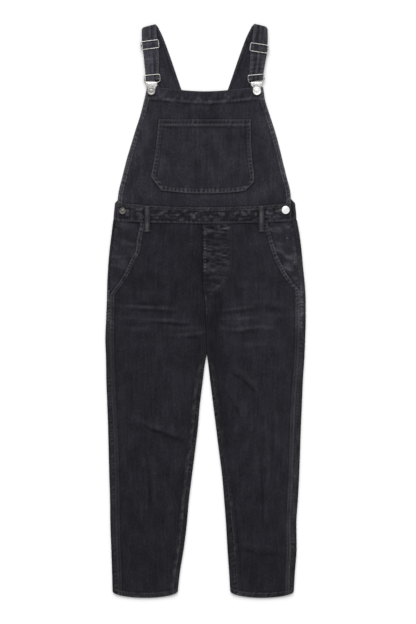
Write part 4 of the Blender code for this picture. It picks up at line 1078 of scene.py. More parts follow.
def belt_loop_surface(part, y, side):
    """A narrow doubled strip: sewn at the band's top, over the band, and down to the leg below it.

    part runs across it, from -0.5 to 0.5. Its middle puffs up and is painted pale, as wear and as a
    highlight along its crown, and its edges are darkened with painted shade.
    """
    below_band = WAIST_Y - BAND_FOOT_DIP
    x = BELT_LOOPS[side] + LOOP_WIDTH * part
    on_band = band_face(x) + GAP
    on_leg = 2 * FOLD_RADIUS - SAG + RAISE + GAP
    low = on_leg + (on_band + LOOP_SLACK - on_leg) * ease(below_band - 11, below_band + 1, y)
    low = low - LOOP_SLACK * ease(WAIST_Y + 9, WAIST_Y + 24, y)
    beside = LOOP_WIDTH * (0.5 - np.abs(part))
    from_end = np.minimum(LOOP_TOP - y, y - LOOP_FOOT)
    bright = uneven(y, 9, 258 + side, 0.5)
    pulled, pale, dark = bell(from_end - 3.5, 1.6), bell(from_end - 1.2, 1.2), bell(from_end - 6, 2)
    blobs = mottle(x, y, 6, 9, 257)
    relief = layered(
        # the pale middle streak: wear, with a painted highlight along the puffed crown
        Relief(0.30 * bell(part, 0.16), (0.32 + 0.46 * bright**2) * bell(part + 0.04, 0.25), LOOP_WASH),
        stitched_edge(beside, y, 251 + side, 0.13, 0.35, rows=(LOOP_STITCH,), width=4.0),
        Relief(-0.35 * pulled, 0.35 * pale, 1 - 0.25 * dark),
        # painted shade down both edges
        Relief(0.1 * blobs, 0.0, 1.0 - 0.88 * bell(beside - 0.2, 2.0) + 0.35 * blobs),
    )
    crown = LOOP_CROWN * ease(0, 3, beside) + rolled(np.minimum(beside, from_end), 0.9)
    return plain_cloth(x, y, low + LOOP_PLY + crown + relief.height, low, relief)


# ---------------------------------------------------------------- straps


def strap_lines(rows, count):
    """Lines across the strap, along smooth curves through the table's rows."""
    table = np.array(rows, float)
    at = np.linspace(0, len(table) - 1, count)
    k = np.clip(at.astype(int), 0, len(table) - 2)
    tangent = np.gradient(table, axis=0)
    return cubic(table[k], tangent[k], table[k + 1], tangent[k + 1], (at - k)[:, None])


def ends_of(lines, height, side):
    """The two ends of each line across the strap, as points of shape (lines, 2, 3)."""
    out = grid(side * lines[:, 0], lines[:, 1], height)
    inboard = grid(side * lines[:, 2], lines[:, 3], height)
    return np.stack((out, inboard), 1)


def turn(first, last, radius, steps, towards):
    """Lines carried round half a turn, from the lower or upper line to the other one.

    The turn's middle stands off both lines by its radius, along the level direction at right
    angles to the line, towards +Y for 1 and -Y for -1.
    """
    angle = np.linspace(0, math.pi, steps + 2)[1:-1, None, None]
    part = angle / math.pi
    line = first[0] - first[1]
    level = np.array([line[1], -line[0], 0]) / np.hypot(line[0], line[1])
    level = level * towards * np.sign(level[1])
    between = first[None] * (1 - part) + last[None] * part
    height = (first[0, 2] + last[0, 2]) / 2 + (first[0, 2] - last[0, 2]) / 2 * np.cos(angle)
    between[..., 2] = height[..., 0]
    return between + level * radius * np.sin(angle)


def strap_path(side):
    """The strap's lines from the back bib over the shoulder fold, down to the clip and back up behind.

    Returns the lines and how many of them come before the front ply and before the clip's turn.
    """
    back = ends_of(strap_lines(BACK_OF_STRAP[side], 110), STRAP_PLY / 2, side)
    slider, loop = SLIDERS[side], CLIP_LOOPS[side]
    ends = placed([(side * STRAP_AT_BAR / 2, 0, 0), (-side * STRAP_AT_BAR / 2, 0, 0)], loop)
    at_bar = Strap(side * ends[0, 0], ends[0, 1], side * ends[1, 0], ends[1, 1])
    lines = strap_lines((*FRONT_OF_STRAP[side], at_bar), 74)
    middle_y = (lines[:, 1] + lines[:, 3]) / 2
    hump = np.cos(np.clip((middle_y - slider.y) / SLIDER_HUMP_REACH, -1, 1) * math.pi / 2) ** 2
    bar_height = STRAP_RETURN + 2 * STRAP_END_TURN
    height = STRAP_FACE + SLIDER_HUMP * hump
    height = height + (bar_height - STRAP_FACE) * ease(slider.y - 12, loop.y + 6, middle_y)
    front = ends_of(lines, height, side)
    over = turn(back[-1], front[0], STRAP_FOLD, 11, 1)
    behind = front[middle_y < slider.y + 3][::-3].copy()
    behind[..., 2] = STRAP_RETURN
    under = turn(front[-1], behind[0], STRAP_END_TURN, 9, -1)
    path = np.concatenate((back, over, front, under, behind))
    return path, len(back) + len(over), len(back) + len(over) + len(front)


def strap_relief(off_middle, beside, along, at_front, side):
    """How a strap is worn: creased rungs whose dips are darkened with painted shade, lines along its edges,
    a pale ridge down its front with a fainter one beside it and painted shade in a furrow beside it, and
    blotches of wash. at_front is 1 on the ply that shows in front."""
    seed, wash = 300 + 10 * side, STRAP_WASH[side]
    rungs = beat(along, 7.5, 2.0, 26, seed + 1) * bell(beside - 4.6, 2.0)
    rungs = rungs * at_front * uneven(along, 21, seed + 2, 0.4)
    lean = off_middle - 2.0 * wander(along, 30, seed + 3)
    ridges = bell(lean - 1.0, 2.6) * uneven(along, 9, seed + 4, 0.4)
    ridges = ridges + 0.6 * bell(lean + 8.5, 2.4) * uneven(along, 13, seed + 5, 0.5)
    lines = bell(beside - 6.5, 1.8) * at_front * uneven(along, 11, seed + 9, 0.5)
    furrow_shade = 1 - 0.5 * at_front * bell(lean - 5.5, 2.0)
    crossing = rope(along, 0.0, 11, 1.0, 0.0, 0.28, 0.16, seed + 6)
    blotches = wash.behind + wash.front * at_front
    blotches = blotches + (0.14 + 0.6 * at_front) * mottle(off_middle, along, 5, 13, seed + 8)
    blotches = blotches + 0.55 * at_front * mottle(off_middle, along, 7, 5, seed + 10)
    return layered(
        stitched_edge(beside, along, seed, 0.30, 0.4, rows=(2.6,), width=6.0),
        Relief(worn=0.40 * bell(beside - 0.6, 2.0) * at_front),
        # painted shade between the rungs
        Relief(0.12 * rungs, 0.34 * np.clip(rungs, 0, 1), 1 + 0.45 * np.minimum(rungs, 0)),
        # painted shade in the furrow beside the pale ridge
        Relief(0.22 * ridges, (0.54 * ridges + 0.50 * lines) * at_front, furrow_shade),
        faded(crossing, at_front * (0.5 + 0.5 * mottle(off_middle, along, 9, 12, seed + 7))),
        Relief(tone=blotches),
    )


def strap_surface(part, side):
    """One strap's cloth at these parts of its width, from its outboard edge, 0, to its inboard, 1.

    Both faces stand off the middle along the strap's own normal by half a ply and the relief. The front ply
    is darkened with painted shadow under the three wires that cross it.
    """
    path, front_from, front_to = strap_path(side)  # the shoulder fold lies just before front_from
    onward = np.gradient(path.mean(1), axis=0)
    level = path[:, 0] - path[:, 1]
    width = np.linalg.norm(level, axis=1)[:, None]
    normal = np.cross(level, onward)
    normal /= np.linalg.norm(normal, axis=1)[:, None]
    steps = np.linalg.norm(np.diff(path.mean(1), axis=0), axis=1)
    along = np.concatenate(([0], np.cumsum(steps)))[:, None]
    middle = path[:, :1] * (1 - part[None, :, None]) + path[:, 1:] * part[None, :, None]
    beside = width * np.minimum(part, 1 - part)[None, :]
    top = middle[:, :, 1].max(0)
    crown = STRAP_CROWN * (1 - 1.2 * bell(beside[front_from], 2.2))[None, :]
    middle[..., 1] += crown * ease(34, 0, top[None, :] - middle[..., 1])
    number = np.arange(len(path))[:, None]
    at_front = ease(front_from - 14, front_from, number) * ease(front_to + 5, front_to, number)
    off_middle = (part[None, :] - 0.5) * width
    relief = strap_relief(off_middle, beside, along, at_front, side)
    # painted shadow under each wire
    wire_shadows = 1.0
    for wire_x, wire_y, tilt in strap_wires(side):
        off_x, off_y = middle[..., 0] - wire_x, middle[..., 1] - wire_y
        near = np.abs(off_y * math.cos(math.radians(tilt)) - off_x * math.sin(math.radians(tilt)))
        wire_shadows = wire_shadows - 0.4 * bell(near, 2.4) * at_front
    thick = STRAP_PLY / 2 + np.clip(relief.height, -0.3, 0.22) + rolled(beside, 0.9) * 0.6
    offset = normal[:, None, :] * thick[..., None]
    face, back = middle + offset, middle - offset
    face[..., 2], back[..., 2] = np.maximum(face[..., 2], 0), np.maximum(back[..., 2], 0)
    return Cloth(face, back, off_middle, along, relief.worn, relief.tone * wire_shadows)


def strap_wires(side):
    """Middles and turns of the three wires that cross over the front of a strap."""
    slider, loop = SLIDERS[side], CLIP_LOOPS[side]
    offsets = [(slider, SLIDER_HEIGHT / 2), (slider, -SLIDER_HEIGHT / 2), (loop, CLIP_TOP)]
    return [Hardware(*placed([(0, up, 0)], spot)[0, :2], spot.turn) for spot, up in offsets]


def placed(points, spot):
    """Points given about a piece of hardware's middle, turned by its angle and moved to its place."""
    points = np.array(points, float)
    angle = math.radians(spot.turn)
    x = points[:, 0] * math.cos(angle) - points[:, 1] * math.sin(angle) + spot.x
    y = points[:, 0] * math.sin(angle) + points[:, 1] * math.cos(angle) + spot.y
    return np.stack((x, y, points[:, 2]), 1)


# ---------------------------------------------------------------- meshes


def grid(x, y, z):
    """Points of shape (rows, columns, 3) from three arrays that broadcast together."""
    return np.stack(np.broadcast_arrays(x, y, z), -1).astype(float)


def spaced(start, end, step, near, far=None):
    """Places from start to end: as listed near both ends, and evenly between them."""
    near = np.array(near, float)
    far = near if far is None else np.array(far, float)
    way = 1 if end > start else -1
    first, last = start + way * near, end - way * far[::-1]
    count = max(int(abs(last[0] - first[-1]) / step), 1)
    return np.concatenate((first, np.linspace(first[-1], last[0], count + 1)[1:-1], last))


def across(start, end, near, count):
    """The same across a panel whose edges, start and end, differ from row to row."""
    near = np.array(near, float)[None, :]
    first, last = start + near, end - near[:, ::-1]
    between = first[:, -1:] + (last[:, :1] - first[:, -1:]) * np.linspace(0, 1, count)[None, 1:-1]
    return np.concatenate((first, between, last), 1)


def mesh_of(name, points, faces, smooth_angle=50):
    """A mesh object from points in millimetres and faces of four corners, or of three where -1 fills in.

    The signed volume of its corners says whether the faces point outwards, and turns them if not.
    """
    points, faces = np.asarray(points, float) * MM, np.asarray(faces, int)
    a, b, c = (points[faces[:, k]] for k in range(3))
    short = faces[:, 3] < 0
    d = np.where(short[:, None], c, points[faces[:, 3]])
    volume = np.einsum("ij,ij->", a, np.cross(b, c)) + np.einsum("ij,ij->", a, np.cross(c, d))
    if volume < 0:
        turned = faces[:, ::-1]
        turned[short] = np.concatenate((faces[short, 2::-1], faces[short, 3:]), 1)
        faces = turned
    mesh = bpy.data.meshes.new(name)
    mesh.vertices.add(len(points))
    mesh.vertices.foreach_set("co", points.ravel())
    corners = faces.ravel()
    corners = corners[corners >= 0]
    mesh.loops.add(len(corners))
    mesh.loops.foreach_set("vertex_index", corners)
    mesh.polygons.add(len(faces))
    starts = np.cumsum(np.where(short, 3, 4))[:-1]
    mesh.polygons.foreach_set("loop_start", np.concatenate(([0], starts)))
    mesh.update(calc_edges=True)
    mesh.shade_smooth()
    mesh.set_sharp_from_angle(angle=math.radians(smooth_angle))
    made = linked(name, mesh)
    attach(made, "root")
    return made


def linked(name, data):
    """A new object in the scene."""
    made = bpy.data.objects.new(name, data)
    bpy.context.scene.collection.objects.link(made)
    return made


def wall(name, cloth, keep=None):
    """A closed wall between a cloth's face and its back, with a hole where keep leaves cells out.

    Every kept cell's sides that no other kept cell shares get a wall between face and back. The
    cloth's own measures go into its map, and its wear and tone into the attributes of its points.
    """
    rows, columns = cloth.face.shape[:2]
    count = rows * columns
    index = np.arange(count).reshape(rows, columns)
    cells = np.stack((index[:-1, :-1], index[:-1, 1:], index[1:, 1:], index[1:, :-1]), -1)
    cells = cells.reshape(-1, 4) if keep is None else cells[keep]
    here, onward = cells.ravel(), np.roll(cells, -1, 1).ravel()
    outline = ~np.isin(here * count + onward, onward * count + here)
    rim, rim_on = here[outline], onward[outline]
    walls = np.stack((rim_on, rim, rim + count, rim_on + count), -1)
    points = np.concatenate((cloth.face.reshape(-1, 3), cloth.back.reshape(-1, 3)))
    made = mesh_of(name, points, np.concatenate((cells, cells[:, ::-1] + count, walls)))
    mesh = made.data
    across_each, along_each, worn, tone = (np.broadcast_to(v, (rows, columns)).ravel() for v in cloth[2:])
    for attribute, values in (("worn", worn), ("tone", tone)):
        stored = mesh.attributes.new(attribute, "FLOAT", "POINT")
        stored.data.foreach_set("value", np.tile(values, 2).astype(np.float32))
    corners = np.empty(len(mesh.loops), int)
    mesh.loops.foreach_get("vertex_index", corners)
    places = np.tile(np.stack((across_each, along_each), -1), (2, 1))[corners] * MM
    mesh.uv_layers.new(name="cloth").uv.foreach_set("vector", places.astype(np.float32).ravel())
    return made


def joined_faces(parts):
    """Points and faces of several parts as one, each part's faces counted on from the last."""
    points, faces, start = [], [], 0
    for part_points, part_faces in parts:
        points.append(part_points)
        faces.append(np.where(part_faces < 0, -1, part_faces + start))
        start += len(part_points)
    return np.concatenate(points), np.concatenate(faces)


def ringed(rings, closed=True):
    """The points of rings of shape (rings, points, 3), and the faces that join each ring to the next,
    and the last ring to the first where they are closed."""
    rows, columns = rings.shape[:2]
    index = np.arange(rows * columns).reshape(rows, columns)
    here, onward = (index, np.roll(index, -1, 0)) if closed else (index[:-1], index[1:])
    faces = np.stack((here, np.roll(here, -1, 1), np.roll(onward, -1, 1), onward), -1)
    return rings.reshape(-1, 3), faces.reshape(-1, 4)


def capped(rings, ends):
    """The same for an open row of rings, closed by faces of three corners to a point at each end."""
    points, faces = ringed(rings, closed=False)
    index = np.arange(len(points)).reshape(rings.shape[:2])
    for number, ring in enumerate((index[0, ::-1], index[-1])):
        middle = np.full(len(ring), len(points) + number)
        fan = np.stack((ring, np.roll(ring, -1), middle, np.full(len(ring), -1)), -1)
        faces = np.concatenate((faces, fan))
    return np.concatenate((points, ends)), faces


def sewn(name, rows, seed, pitch=STITCH_PITCH, radius=THREAD_RADIUS, share=0.72):
    """Stitches along rows of points: each is four rings of four points, thick in the middle, whose
    ends dive into the cloth. They lie along the row, a pitch apart, each a little askew."""
    random = np.random.default_rng(seed)
    stations, swell = np.array([0, 0.2, 0.8, 1.0]), np.array([0.5, 1.0, 1.0, 0.5])
    lift = np.array([-0.5, 0.45, 0.45, -0.5]) * radius
    ring_side, ring_up = np.array([1, 0, -1, 0]), np.array([0, 0.8, 0, -0.8])
    ring = np.arange(4)
    sides = [(r * 4 + ring, r * 4 + np.roll(ring, -1)) for r in range(4)]
    quads = [np.stack((sides[r][0], sides[r][1], sides[r + 1][1], sides[r + 1][0]), -1) for r in range(3)]
    one = np.concatenate((*quads, [ring[::-1]], [12 + ring]))
    parts = []
    for row in rows:
        way = np.concatenate(([0], np.cumsum(np.linalg.norm(np.diff(row, axis=0), axis=1))))
        starts = np.arange(0.3 * pitch, way[-1] - share * pitch, pitch)
        if not len(starts):
            continue
        starts = starts + random.uniform(-0.06, 0.06, len(starts)) * pitch
        at = starts[:, None] + pitch * share * stations[None, :]
        middle = np.stack([np.interp(at, way, row[:, k]) for k in range(3)], -1)
        onward = middle[:, -1] - middle[:, 0]
        onward /= np.linalg.norm(onward, axis=1)[:, None]
        beside = np.cross([0, 0, 1.0], onward)
        beside /= np.linalg.norm(beside, axis=1)[:, None]
        up = np.cross(onward, beside)
        askew = random.uniform(-0.18, 0.18, len(starts))[:, None, None] * (stations[None, :, None] - 0.5) * 2
        middle = middle + beside[:, None] * askew * radius * 2 + up[:, None] * lift[None, :, None]
        rings = beside[:, None, None] * ring_side[None, None, :, None]
        rings = rings + up[:, None, None] * ring_up[None, None, :, None]
        points = (middle[:, :, None] + rings * radius * swell[None, :, None, None]).reshape(-1, 3)
        faces = (one[None] + 16 * np.arange(len(starts))[:, None, None]).reshape(-1, 4)
        parts.append((points, faces))
    made = mesh_of(name, *joined_faces(parts), smooth_angle=180)
    made.data.materials.append(thread)
    return made


def bartack(x, y, z, half, stitches, length=2.6):
    """Short rows side by side across a line through this place: the thick tack at a seam's end."""
    ends = y - length / 2, y + length / 2
    return [np.array([(spot, end, z) for end in ends]) for spot in np.linspace(x - half, x + half, stitches)]


# ---------------------------------------------------------------- finishes


def shader_of(name):
    """A new material with nodes, its tree and its Principled shader."""
    made = bpy.data.materials.new(name)
    made.use_nodes = True
    return made, made.node_tree, made.node_tree.nodes["Principled BSDF"]


def fill(tree, node, inputs):
    """Sets a node's inputs, by name or number, to values, or joins them to other nodes' outputs."""
    for key, value in inputs.items():
        if isinstance(value, bpy.types.NodeSocket):
            tree.links.new(value, node.inputs[key])
        else:
            node.inputs[key].default_value = value


def put(tree, kind, inputs, output=0, **settings):
    """One output of a new node with these settings and inputs."""
    node = tree.nodes.new(kind)
    for key, value in settings.items():
        setattr(node, key, value)
    fill(tree, node, inputs)
    return node.outputs[output]


def scaled(tree, value, by, plus=0.0, clamp=False):
    """A value times another, plus a third, held between 0 and 1 where it is clamped."""
    return put(tree, "ShaderNodeMath", {0: value, 1: by, 2: plus}, operation="MULTIPLY_ADD", use_clamp=clamp)


def stretched(tree, vector, by):
    """A vector, or a colour, times a number."""
    return put(tree, "ShaderNodeVectorMath", {0: vector, "Scale": by}, operation="SCALE")


def speckle(tree, places, size, detail=2.0, roughness=0.5, offset=0.0):
    """Noise whose grain is size (across, along, up) in millimetres; places are in metres."""
    scale = tuple(1000.0 / value for value in size)
    at = put(tree, "ShaderNodeMapping", {"Vector": places, "Scale": scale, "Location": (offset,) * 3})
    inputs = {"Vector": at, "Scale": 1.0, "Detail": detail, "Roughness": roughness, "Distortion": 0.0}
    return put(tree, "ShaderNodeTexNoise", inputs, "Fac")


def ramp(tree, factor, low, high, between=()):
    """A colour ramp from low to high, with more stops between; each stop is a place and a colour."""
    node = tree.nodes.new("ShaderNodeValToRGB")
    fill(tree, node, {"Fac": factor})
    stops = node.color_ramp.elements
    for stop, (place, colour) in zip(stops, (low, high)):
        stop.position = place
        stop.color = (*colour, 1)
    for place, colour in between:
        stops.new(place).color = (*colour, 1)
    return node.outputs[0]


def washed_black_denim():
    """Black twill washed until it shows grey along its slubs, its edges and its ridges.

    Slubs, streaks and grain make up the wash, which the piece's tone scales; that tone also carries painted
    shade. Where the piece is worn, an uneven share of the dye is rubbed away, and the same share carries a
    few painted highlights. Twill lines, slubs and fibres make the bump.
    """
    made, tree, shader = shader_of("washed_black_denim")
    places = put(tree, "ShaderNodeUVMap", {}, "UV", uv_map="cloth")
    slub = speckle(tree, places, (1.5, 17, 1), 3.0, 0.65)
    weft = speckle(tree, places, (9, 1.3, 1), 2.0, 0.6, 5.0)
    streak = speckle(tree, places, (5.5, 75, 1), 2.0, 0.5, 11.0)
    grain = speckle(tree, places, (1.7, 2.2, 1), 3.0, 0.7, 17.0)
    cloud = speckle(tree, places, (30, 48, 1), 3.0, 0.5, 23.0)
    fleck = speckle(tree, places, (4.5, 5.5, 1), 3.0, 0.7, 41.0)
    wash = 0.0
    for part, share in ((slub, 0.9), (weft, 0.5), (streak, 0.6), (grain, 0.9), (cloud, 0.8), (fleck, 1.0)):
        wash = scaled(tree, part, share, wash)
    shares = 0.9 + 0.5 + 0.6 + 0.9 + 0.8 + 1.0
    wash = scaled(tree, wash, 0.62, 0.48 - 0.62 * shares / 2, clamp=True)
    greys = (0.3, 0.0082), (0.5, 0.0134), (0.7, 0.0220)
    greys = [(place, (grey, grey * 0.945, grey * 1.26)) for place, grey in greys]
    dye = ramp(tree, wash, (0.0, (0.0030, 0.0028, 0.0042)), (1.0, (0.0480, 0.0458, 0.0560)), greys)
    # the tone attribute: the piece's wash and its painted shade
    toned = stretched(tree, dye, put(tree, "ShaderNodeAttribute", {}, "Fac", attribute_name="tone"))
    worn = put(tree, "ShaderNodeAttribute", {}, "Fac", attribute_name="worn")
    rubbing = scaled(tree, speckle(tree, places, (3.2, 3.8, 1), 3.0, 0.7, 31.0), 3.2, -0.75, clamp=True)
    rubbed = scaled(tree, worn, rubbing, clamp=True)
    mixed = {0: rubbed, 6: toned, 7: (0.125, 0.122, 0.136, 1)}
    colour = put(tree, "ShaderNodeMix", mixed, 2, data_type="RGBA")
    in_mm = stretched(tree, places, 1000.0)
    wavy = {"Vector": in_mm, "Scale": 0.52, "Distortion": 0.6, "Detail": 1.0, "Detail Scale": 1.5}
    height = put(tree, "ShaderNodeTexWave", wavy, "Fac", wave_type="BANDS", bands_direction="DIAGONAL")
    for part, share in ((slub, 1.1), (grain, 0.9), (streak, 0.8)):
        height = scaled(tree, part, share, height)
    finish = {
        "Base Color": colour,
        "Normal": put(tree, "ShaderNodeBump", {"Height": height, "Strength": 0.55, "Distance": 0.0005}),
        "Roughness": scaled(tree, grain, 0.16, 0.80),
        "Specular IOR Level": 0.10,
        "Sheen Weight": 0.05,
        "Sheen Roughness": 0.45,
    }
    fill(tree, shader, finish)
    return made


def charcoal_thread():
    """Charcoal sewing thread, slightly glossier than the cloth, with fine light and dark fibres."""
    made, tree, shader = shader_of("charcoal_thread")
    fibre = speckle(tree, put(tree, "ShaderNodeTexCoord", {}, "Object"), (0.5, 0.5, 0.5))
    finish = {
        "Base Color": ramp(tree, fibre, (0.3, (0.014, 0.014, 0.017)), (0.7, (0.060, 0.059, 0.066))),
        "Normal": put(tree, "ShaderNodeBump", {"Height": fibre, "Strength": 0.5, "Distance": 0.0002}),
        "Roughness": 0.7,
        "Specular IOR Level": 0.2,
    }
    fill(tree, shader, finish)
    return made


def metal(name, bright, dull, roughness, size=6.0):
    """Plated or aged metal: cloudy between two colours, with fine scuffs in its gloss."""
    made, tree, shader = shader_of(name)
    places = put(tree, "ShaderNodeTexCoord", {}, "Object")
    cloud = speckle(tree, places, (size, size, size), 4.0, 0.6)
    scuffs = speckle(tree, places, (0.5, 2.2, 1.0), 3.0, 0.7, 7.0)
    finish = {
        "Base Color": ramp(tree, cloud, (0.35, dull), (0.6, bright)),
        "Normal": put(tree, "ShaderNodeBump", {"Height": scuffs, "Strength": 0.12, "Distance": 0.0002}),
        "Roughness": scaled(tree, scuffs, 0.22, roughness - 0.11),
        "Metallic": 1.0,
    }
    fill(tree, shader, finish)
    return made


denim = washed_black_denim()
thread = charcoal_thread()
nickel = metal("brushed_nickel", (0.86, 0.85, 0.83), (0.62, 0.61, 0.59), 0.32)
plate_nickel = metal("scuffed_nickel_plate", (0.68, 0.675, 0.665), (0.24, 0.236, 0.228), 0.34, size=2.6)
wire_nickel = metal("worn_nickel_wire", (0.57, 0.555, 0.53), (0.33, 0.32, 0.305), 0.36)
# the same nickel as the wearer's left bib button, painted darker for the wearer's right one's darker
# reflection
shaded_nickel = metal("shaded_nickel", (0.36, 0.356, 0.344), (0.20, 0.196, 0.188), 0.36, size=3.0)
satin_nickel = metal("satin_nickel", (0.90, 0.90, 0.895), (0.77, 0.77, 0.765), 0.34)
brass = metal("aged_brass", (0.165, 0.158, 0.145), (0.045, 0.043, 0.039), 0.42, size=3.0)


# ---------------------------------------------------------------- pieces of cloth


def seat_of(surface, *at):
    """The face of a surface along a row, where stitches lie."""
    return surface(*at).face.reshape(-1, 3)


def level_row(surface, right, left, at, count):
    """Seats of one row across a panel, at this height or this part of its height."""
    x = np.linspace(right, left, count)[:, None]
    return seat_of(surface, x, at + 0 * x)


def between(start, end, count):
    """This many distances from start to end, on every row."""
    return start + (end - start) * np.linspace(0, 1, count)[None, :]


def laid(node, cloth, seats=(), seed=0, keep=None, pitch=STITCH_PITCH):
    """A piece of denim that stands for a solid, and the stitches sewn through it; the solid is hidden."""
    stitches = [sewn("stitches_" + node, seats, seed, pitch)] if seats else []
    made = wall(node + "_denim", cloth, keep)
    made.data.materials.append(denim)
    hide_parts(node)


def leg_rows(step):
    """Heights of the rows down a leg: close at the waist seam and through the hem."""
    return spaced(*LEG_ROWS, step, PLAIN_STEPS, EDGE_STEPS + (13.5, 15.5))[:, None]


def on_flat(x, y, side):
    """Distance round the tube to x on the leg's flat top."""
    return np.abs(outer_fold(y, side) - x) - FOLD_RADIUS + QUARTER_TURN


def front_leg_seats(side):
    """Twin rows down the pocket edge and side seam, one row down the inseam and round the hem, and
    on the wearer's left front the fly's edge and its curved rows."""
    base = np.linspace(BACK_BAND_FOOT - 1.5, HEM_Y + 2, 900)[:, None]
    start, end = front_leg_edges(base, side)
    legs, above_legs = base[:, 0] < CROTCH_Y, base[:, 0] > CROTCH_Y + 4
    hem = np.full((200, 1), HEM_Y + LEG_HEM_STITCH)
    hem_start, hem_end = front_leg_edges(hem, side)
    round_hem = hem_start + (hem_end - hem_start) * np.linspace(0.01, 0.99, 200)[:, None]
    rows = [(start + offset, base) for offset in STITCH_ROWS]
    rows += [((end - 2.0)[legs], base[legs]), (round_hem, hem)]
    if side > 0:
        rows.append(((end - 3.0)[above_legs], base[above_legs]))
        for inset in FLY_STITCH_INSETS:
            depth = FLY_CURVE_FROM - (FLY_STITCH_FOOT + inset + 0.2)
            curve = FLY_CURVE_FROM - depth * (1 - np.cos(np.linspace(0, math.pi / 2, 90)))
            straight = np.linspace(FLY_EDGE[0].y, FLY_CURVE_FROM + 1, 60)
            heights = np.concatenate((straight, curve))[:, None]
            rows.append((on_flat(fly_stitch(heights, inset), heights, side), heights))
    else:
        middle = above_legs & (base[:, 0] < FLY_STITCH_FOOT - 6)
        rows.append(((end - 2.4)[middle], base[middle]))
    return [seat_of(front_leg_surface, *row, side) for row in rows]


def front_legs():
    """Both front panels and their stitches."""
    base = leg_rows(2.0)
    for (side, wearer), area in zip(SIDES.items(), (0.170, 0.164)):
        distance = across(*front_leg_edges(base, side), EDGE_STEPS, 50)
        cloth, seats = front_leg_surface(distance, base, side), front_leg_seats(side)
        laid("front_leg_" + wearer, cloth, seats, 501 + side)


def back_legs():
    """Both back panels: their rows across run from the side seam round the fold, under the leg and
    up round the inner fold to the inseam."""
    base = leg_rows(3.0)
    fold = QUARTER_TURN + 0 * base
    for side, wearer in SIDES.items():
        side_seam, inner_seam, half = seam_distances(base, side)
        end = np.where(base < CROTCH_Y, GAP / 2 - (half + inner_seam), -(half - inner_seam))
        turn_at = np.maximum(-(half - QUARTER_TURN), end + 1.0)
        places = side_seam - GAP / 2, fold, -fold, turn_at, end
        parts = [between(*pair, count) for *pair, count in zip(places[:-1], places[1:], (8, 15, 38, 16))]
        distance = np.concatenate((parts[0], *(part[:, 1:] for part in parts[1:])), 1)
        laid("back_leg_" + wearer, back_leg_surface(distance, base, side))


def pocket_facings():
    """The denim inside both slanted pockets."""
    base = spaced(LEG_ROWS[0], FACING_FOOT, 2.2, PLAIN_STEPS)[:, None]
    for side, wearer in SIDES.items():
        start = seam_distances(base, side)[0] + GAP / 2
        end = np.maximum(front_leg_edges(base, side)[0] - GAP / 2, start) + UNDER_POCKET_EDGE
        cloth = facing_surface(between(start, end, 34), base, side)
        laid("pocket_facing_" + wearer, cloth)


def front_waistband():
    """The front band with its rows of stitches and its two buttonholes.

    A buttonhole lies between two rows set just below and above its middle, and the band's cells
    between them are left out where it gapes.
    """
    x = spaced(*BAND_ENDS, 1.45, PLAIN_STEPS)
    holes = {}
    for side, (button_x, hole_y, _) in WAIST_BUTTONS.items():
        foot, head = band_foot(button_x), band_head(button_x)
        holes[side] = (hole_y - foot) / (head - foot)
    slit = 0.25 / (band_head(0) - band_foot(0))
    parts = spaced(0.0, BAND_HEIGHT, 1.7, BAND_STEPS) / BAND_HEIGHT
    parts = [part for part in parts if all(abs(part - hole) > 0.03 for hole in holes.values())]
    parts += [hole + way * slit for hole in holes.values() for way in (-1, 1)]
    parts = np.sort(parts)
    keep = np.ones((len(parts) - 1, len(x) - 1), bool)
    for side, hole in holes.items():
        row = np.argmin(np.abs(parts - (hole - slit)))
        keep[row] &= hole_gape((x[1:] + x[:-1]) / 2, side) < 0.2
    ends = BAND_ENDS[0] + 2.4, BAND_ENDS[1] - 2.4
    rows = [1 - offset / BAND_HEIGHT for offset in BAND_STITCHES] + [BAND_FOOT_STITCH / BAND_HEIGHT]
    laid(
        "front_waistband",
        waistband_surface(x[None, :], parts[:, None]),
        [level_row(waistband_surface, *ends, row, 420) for row in rows],
        521,
        keep,
    )


def back_waistband():
    """The back band, whose ends peek out beside the front one."""
    part = spaced(0.0, 1.0, 0.007, (0, 0.0006, 0.0015, 0.003, 0.006))[None, :]
    y = spaced(BACK_BAND_FOOT, BACK_BAND_TOP, 2.2, BAND_STEPS)[:, None]
    laid("back_waistband", back_band_surface(part, y))


def front_bib():
    """The bib, its side rows and its hem's two rows of stitches."""
    steps = EDGE_STEPS + (16, 20, 23, 25, 27, 28, 29, 30, 31, 33)
    part = spaced(0.0, BIB_LENGTH, 3.0, PLAIN_STEPS, steps)[:, None] / BIB_LENGTH
    x = across(*sides_of(BIB_SIDES, bib_guide(part)), EDGE_STEPS, 100)
    along = np.linspace(0.01, 0.995, 320)[:, None]
    seats = []
    for offset in STITCH_ROWS:
        for edge in beside_edges(BIB_SIDES, bib_guide(along), offset):
            seats.append(seat_of(bib_surface, edge, along))
    for from_top in TOP_STITCHES:
        row = 1 - from_top / BIB_MIDDLE_LENGTH
        right, left = sides_of(BIB_SIDES, bib_guide(row))
        seats.append(level_row(bib_surface, right + 10, left - 10, row, 300))
    laid("front_bib", bib_surface(x, part), seats, 531)


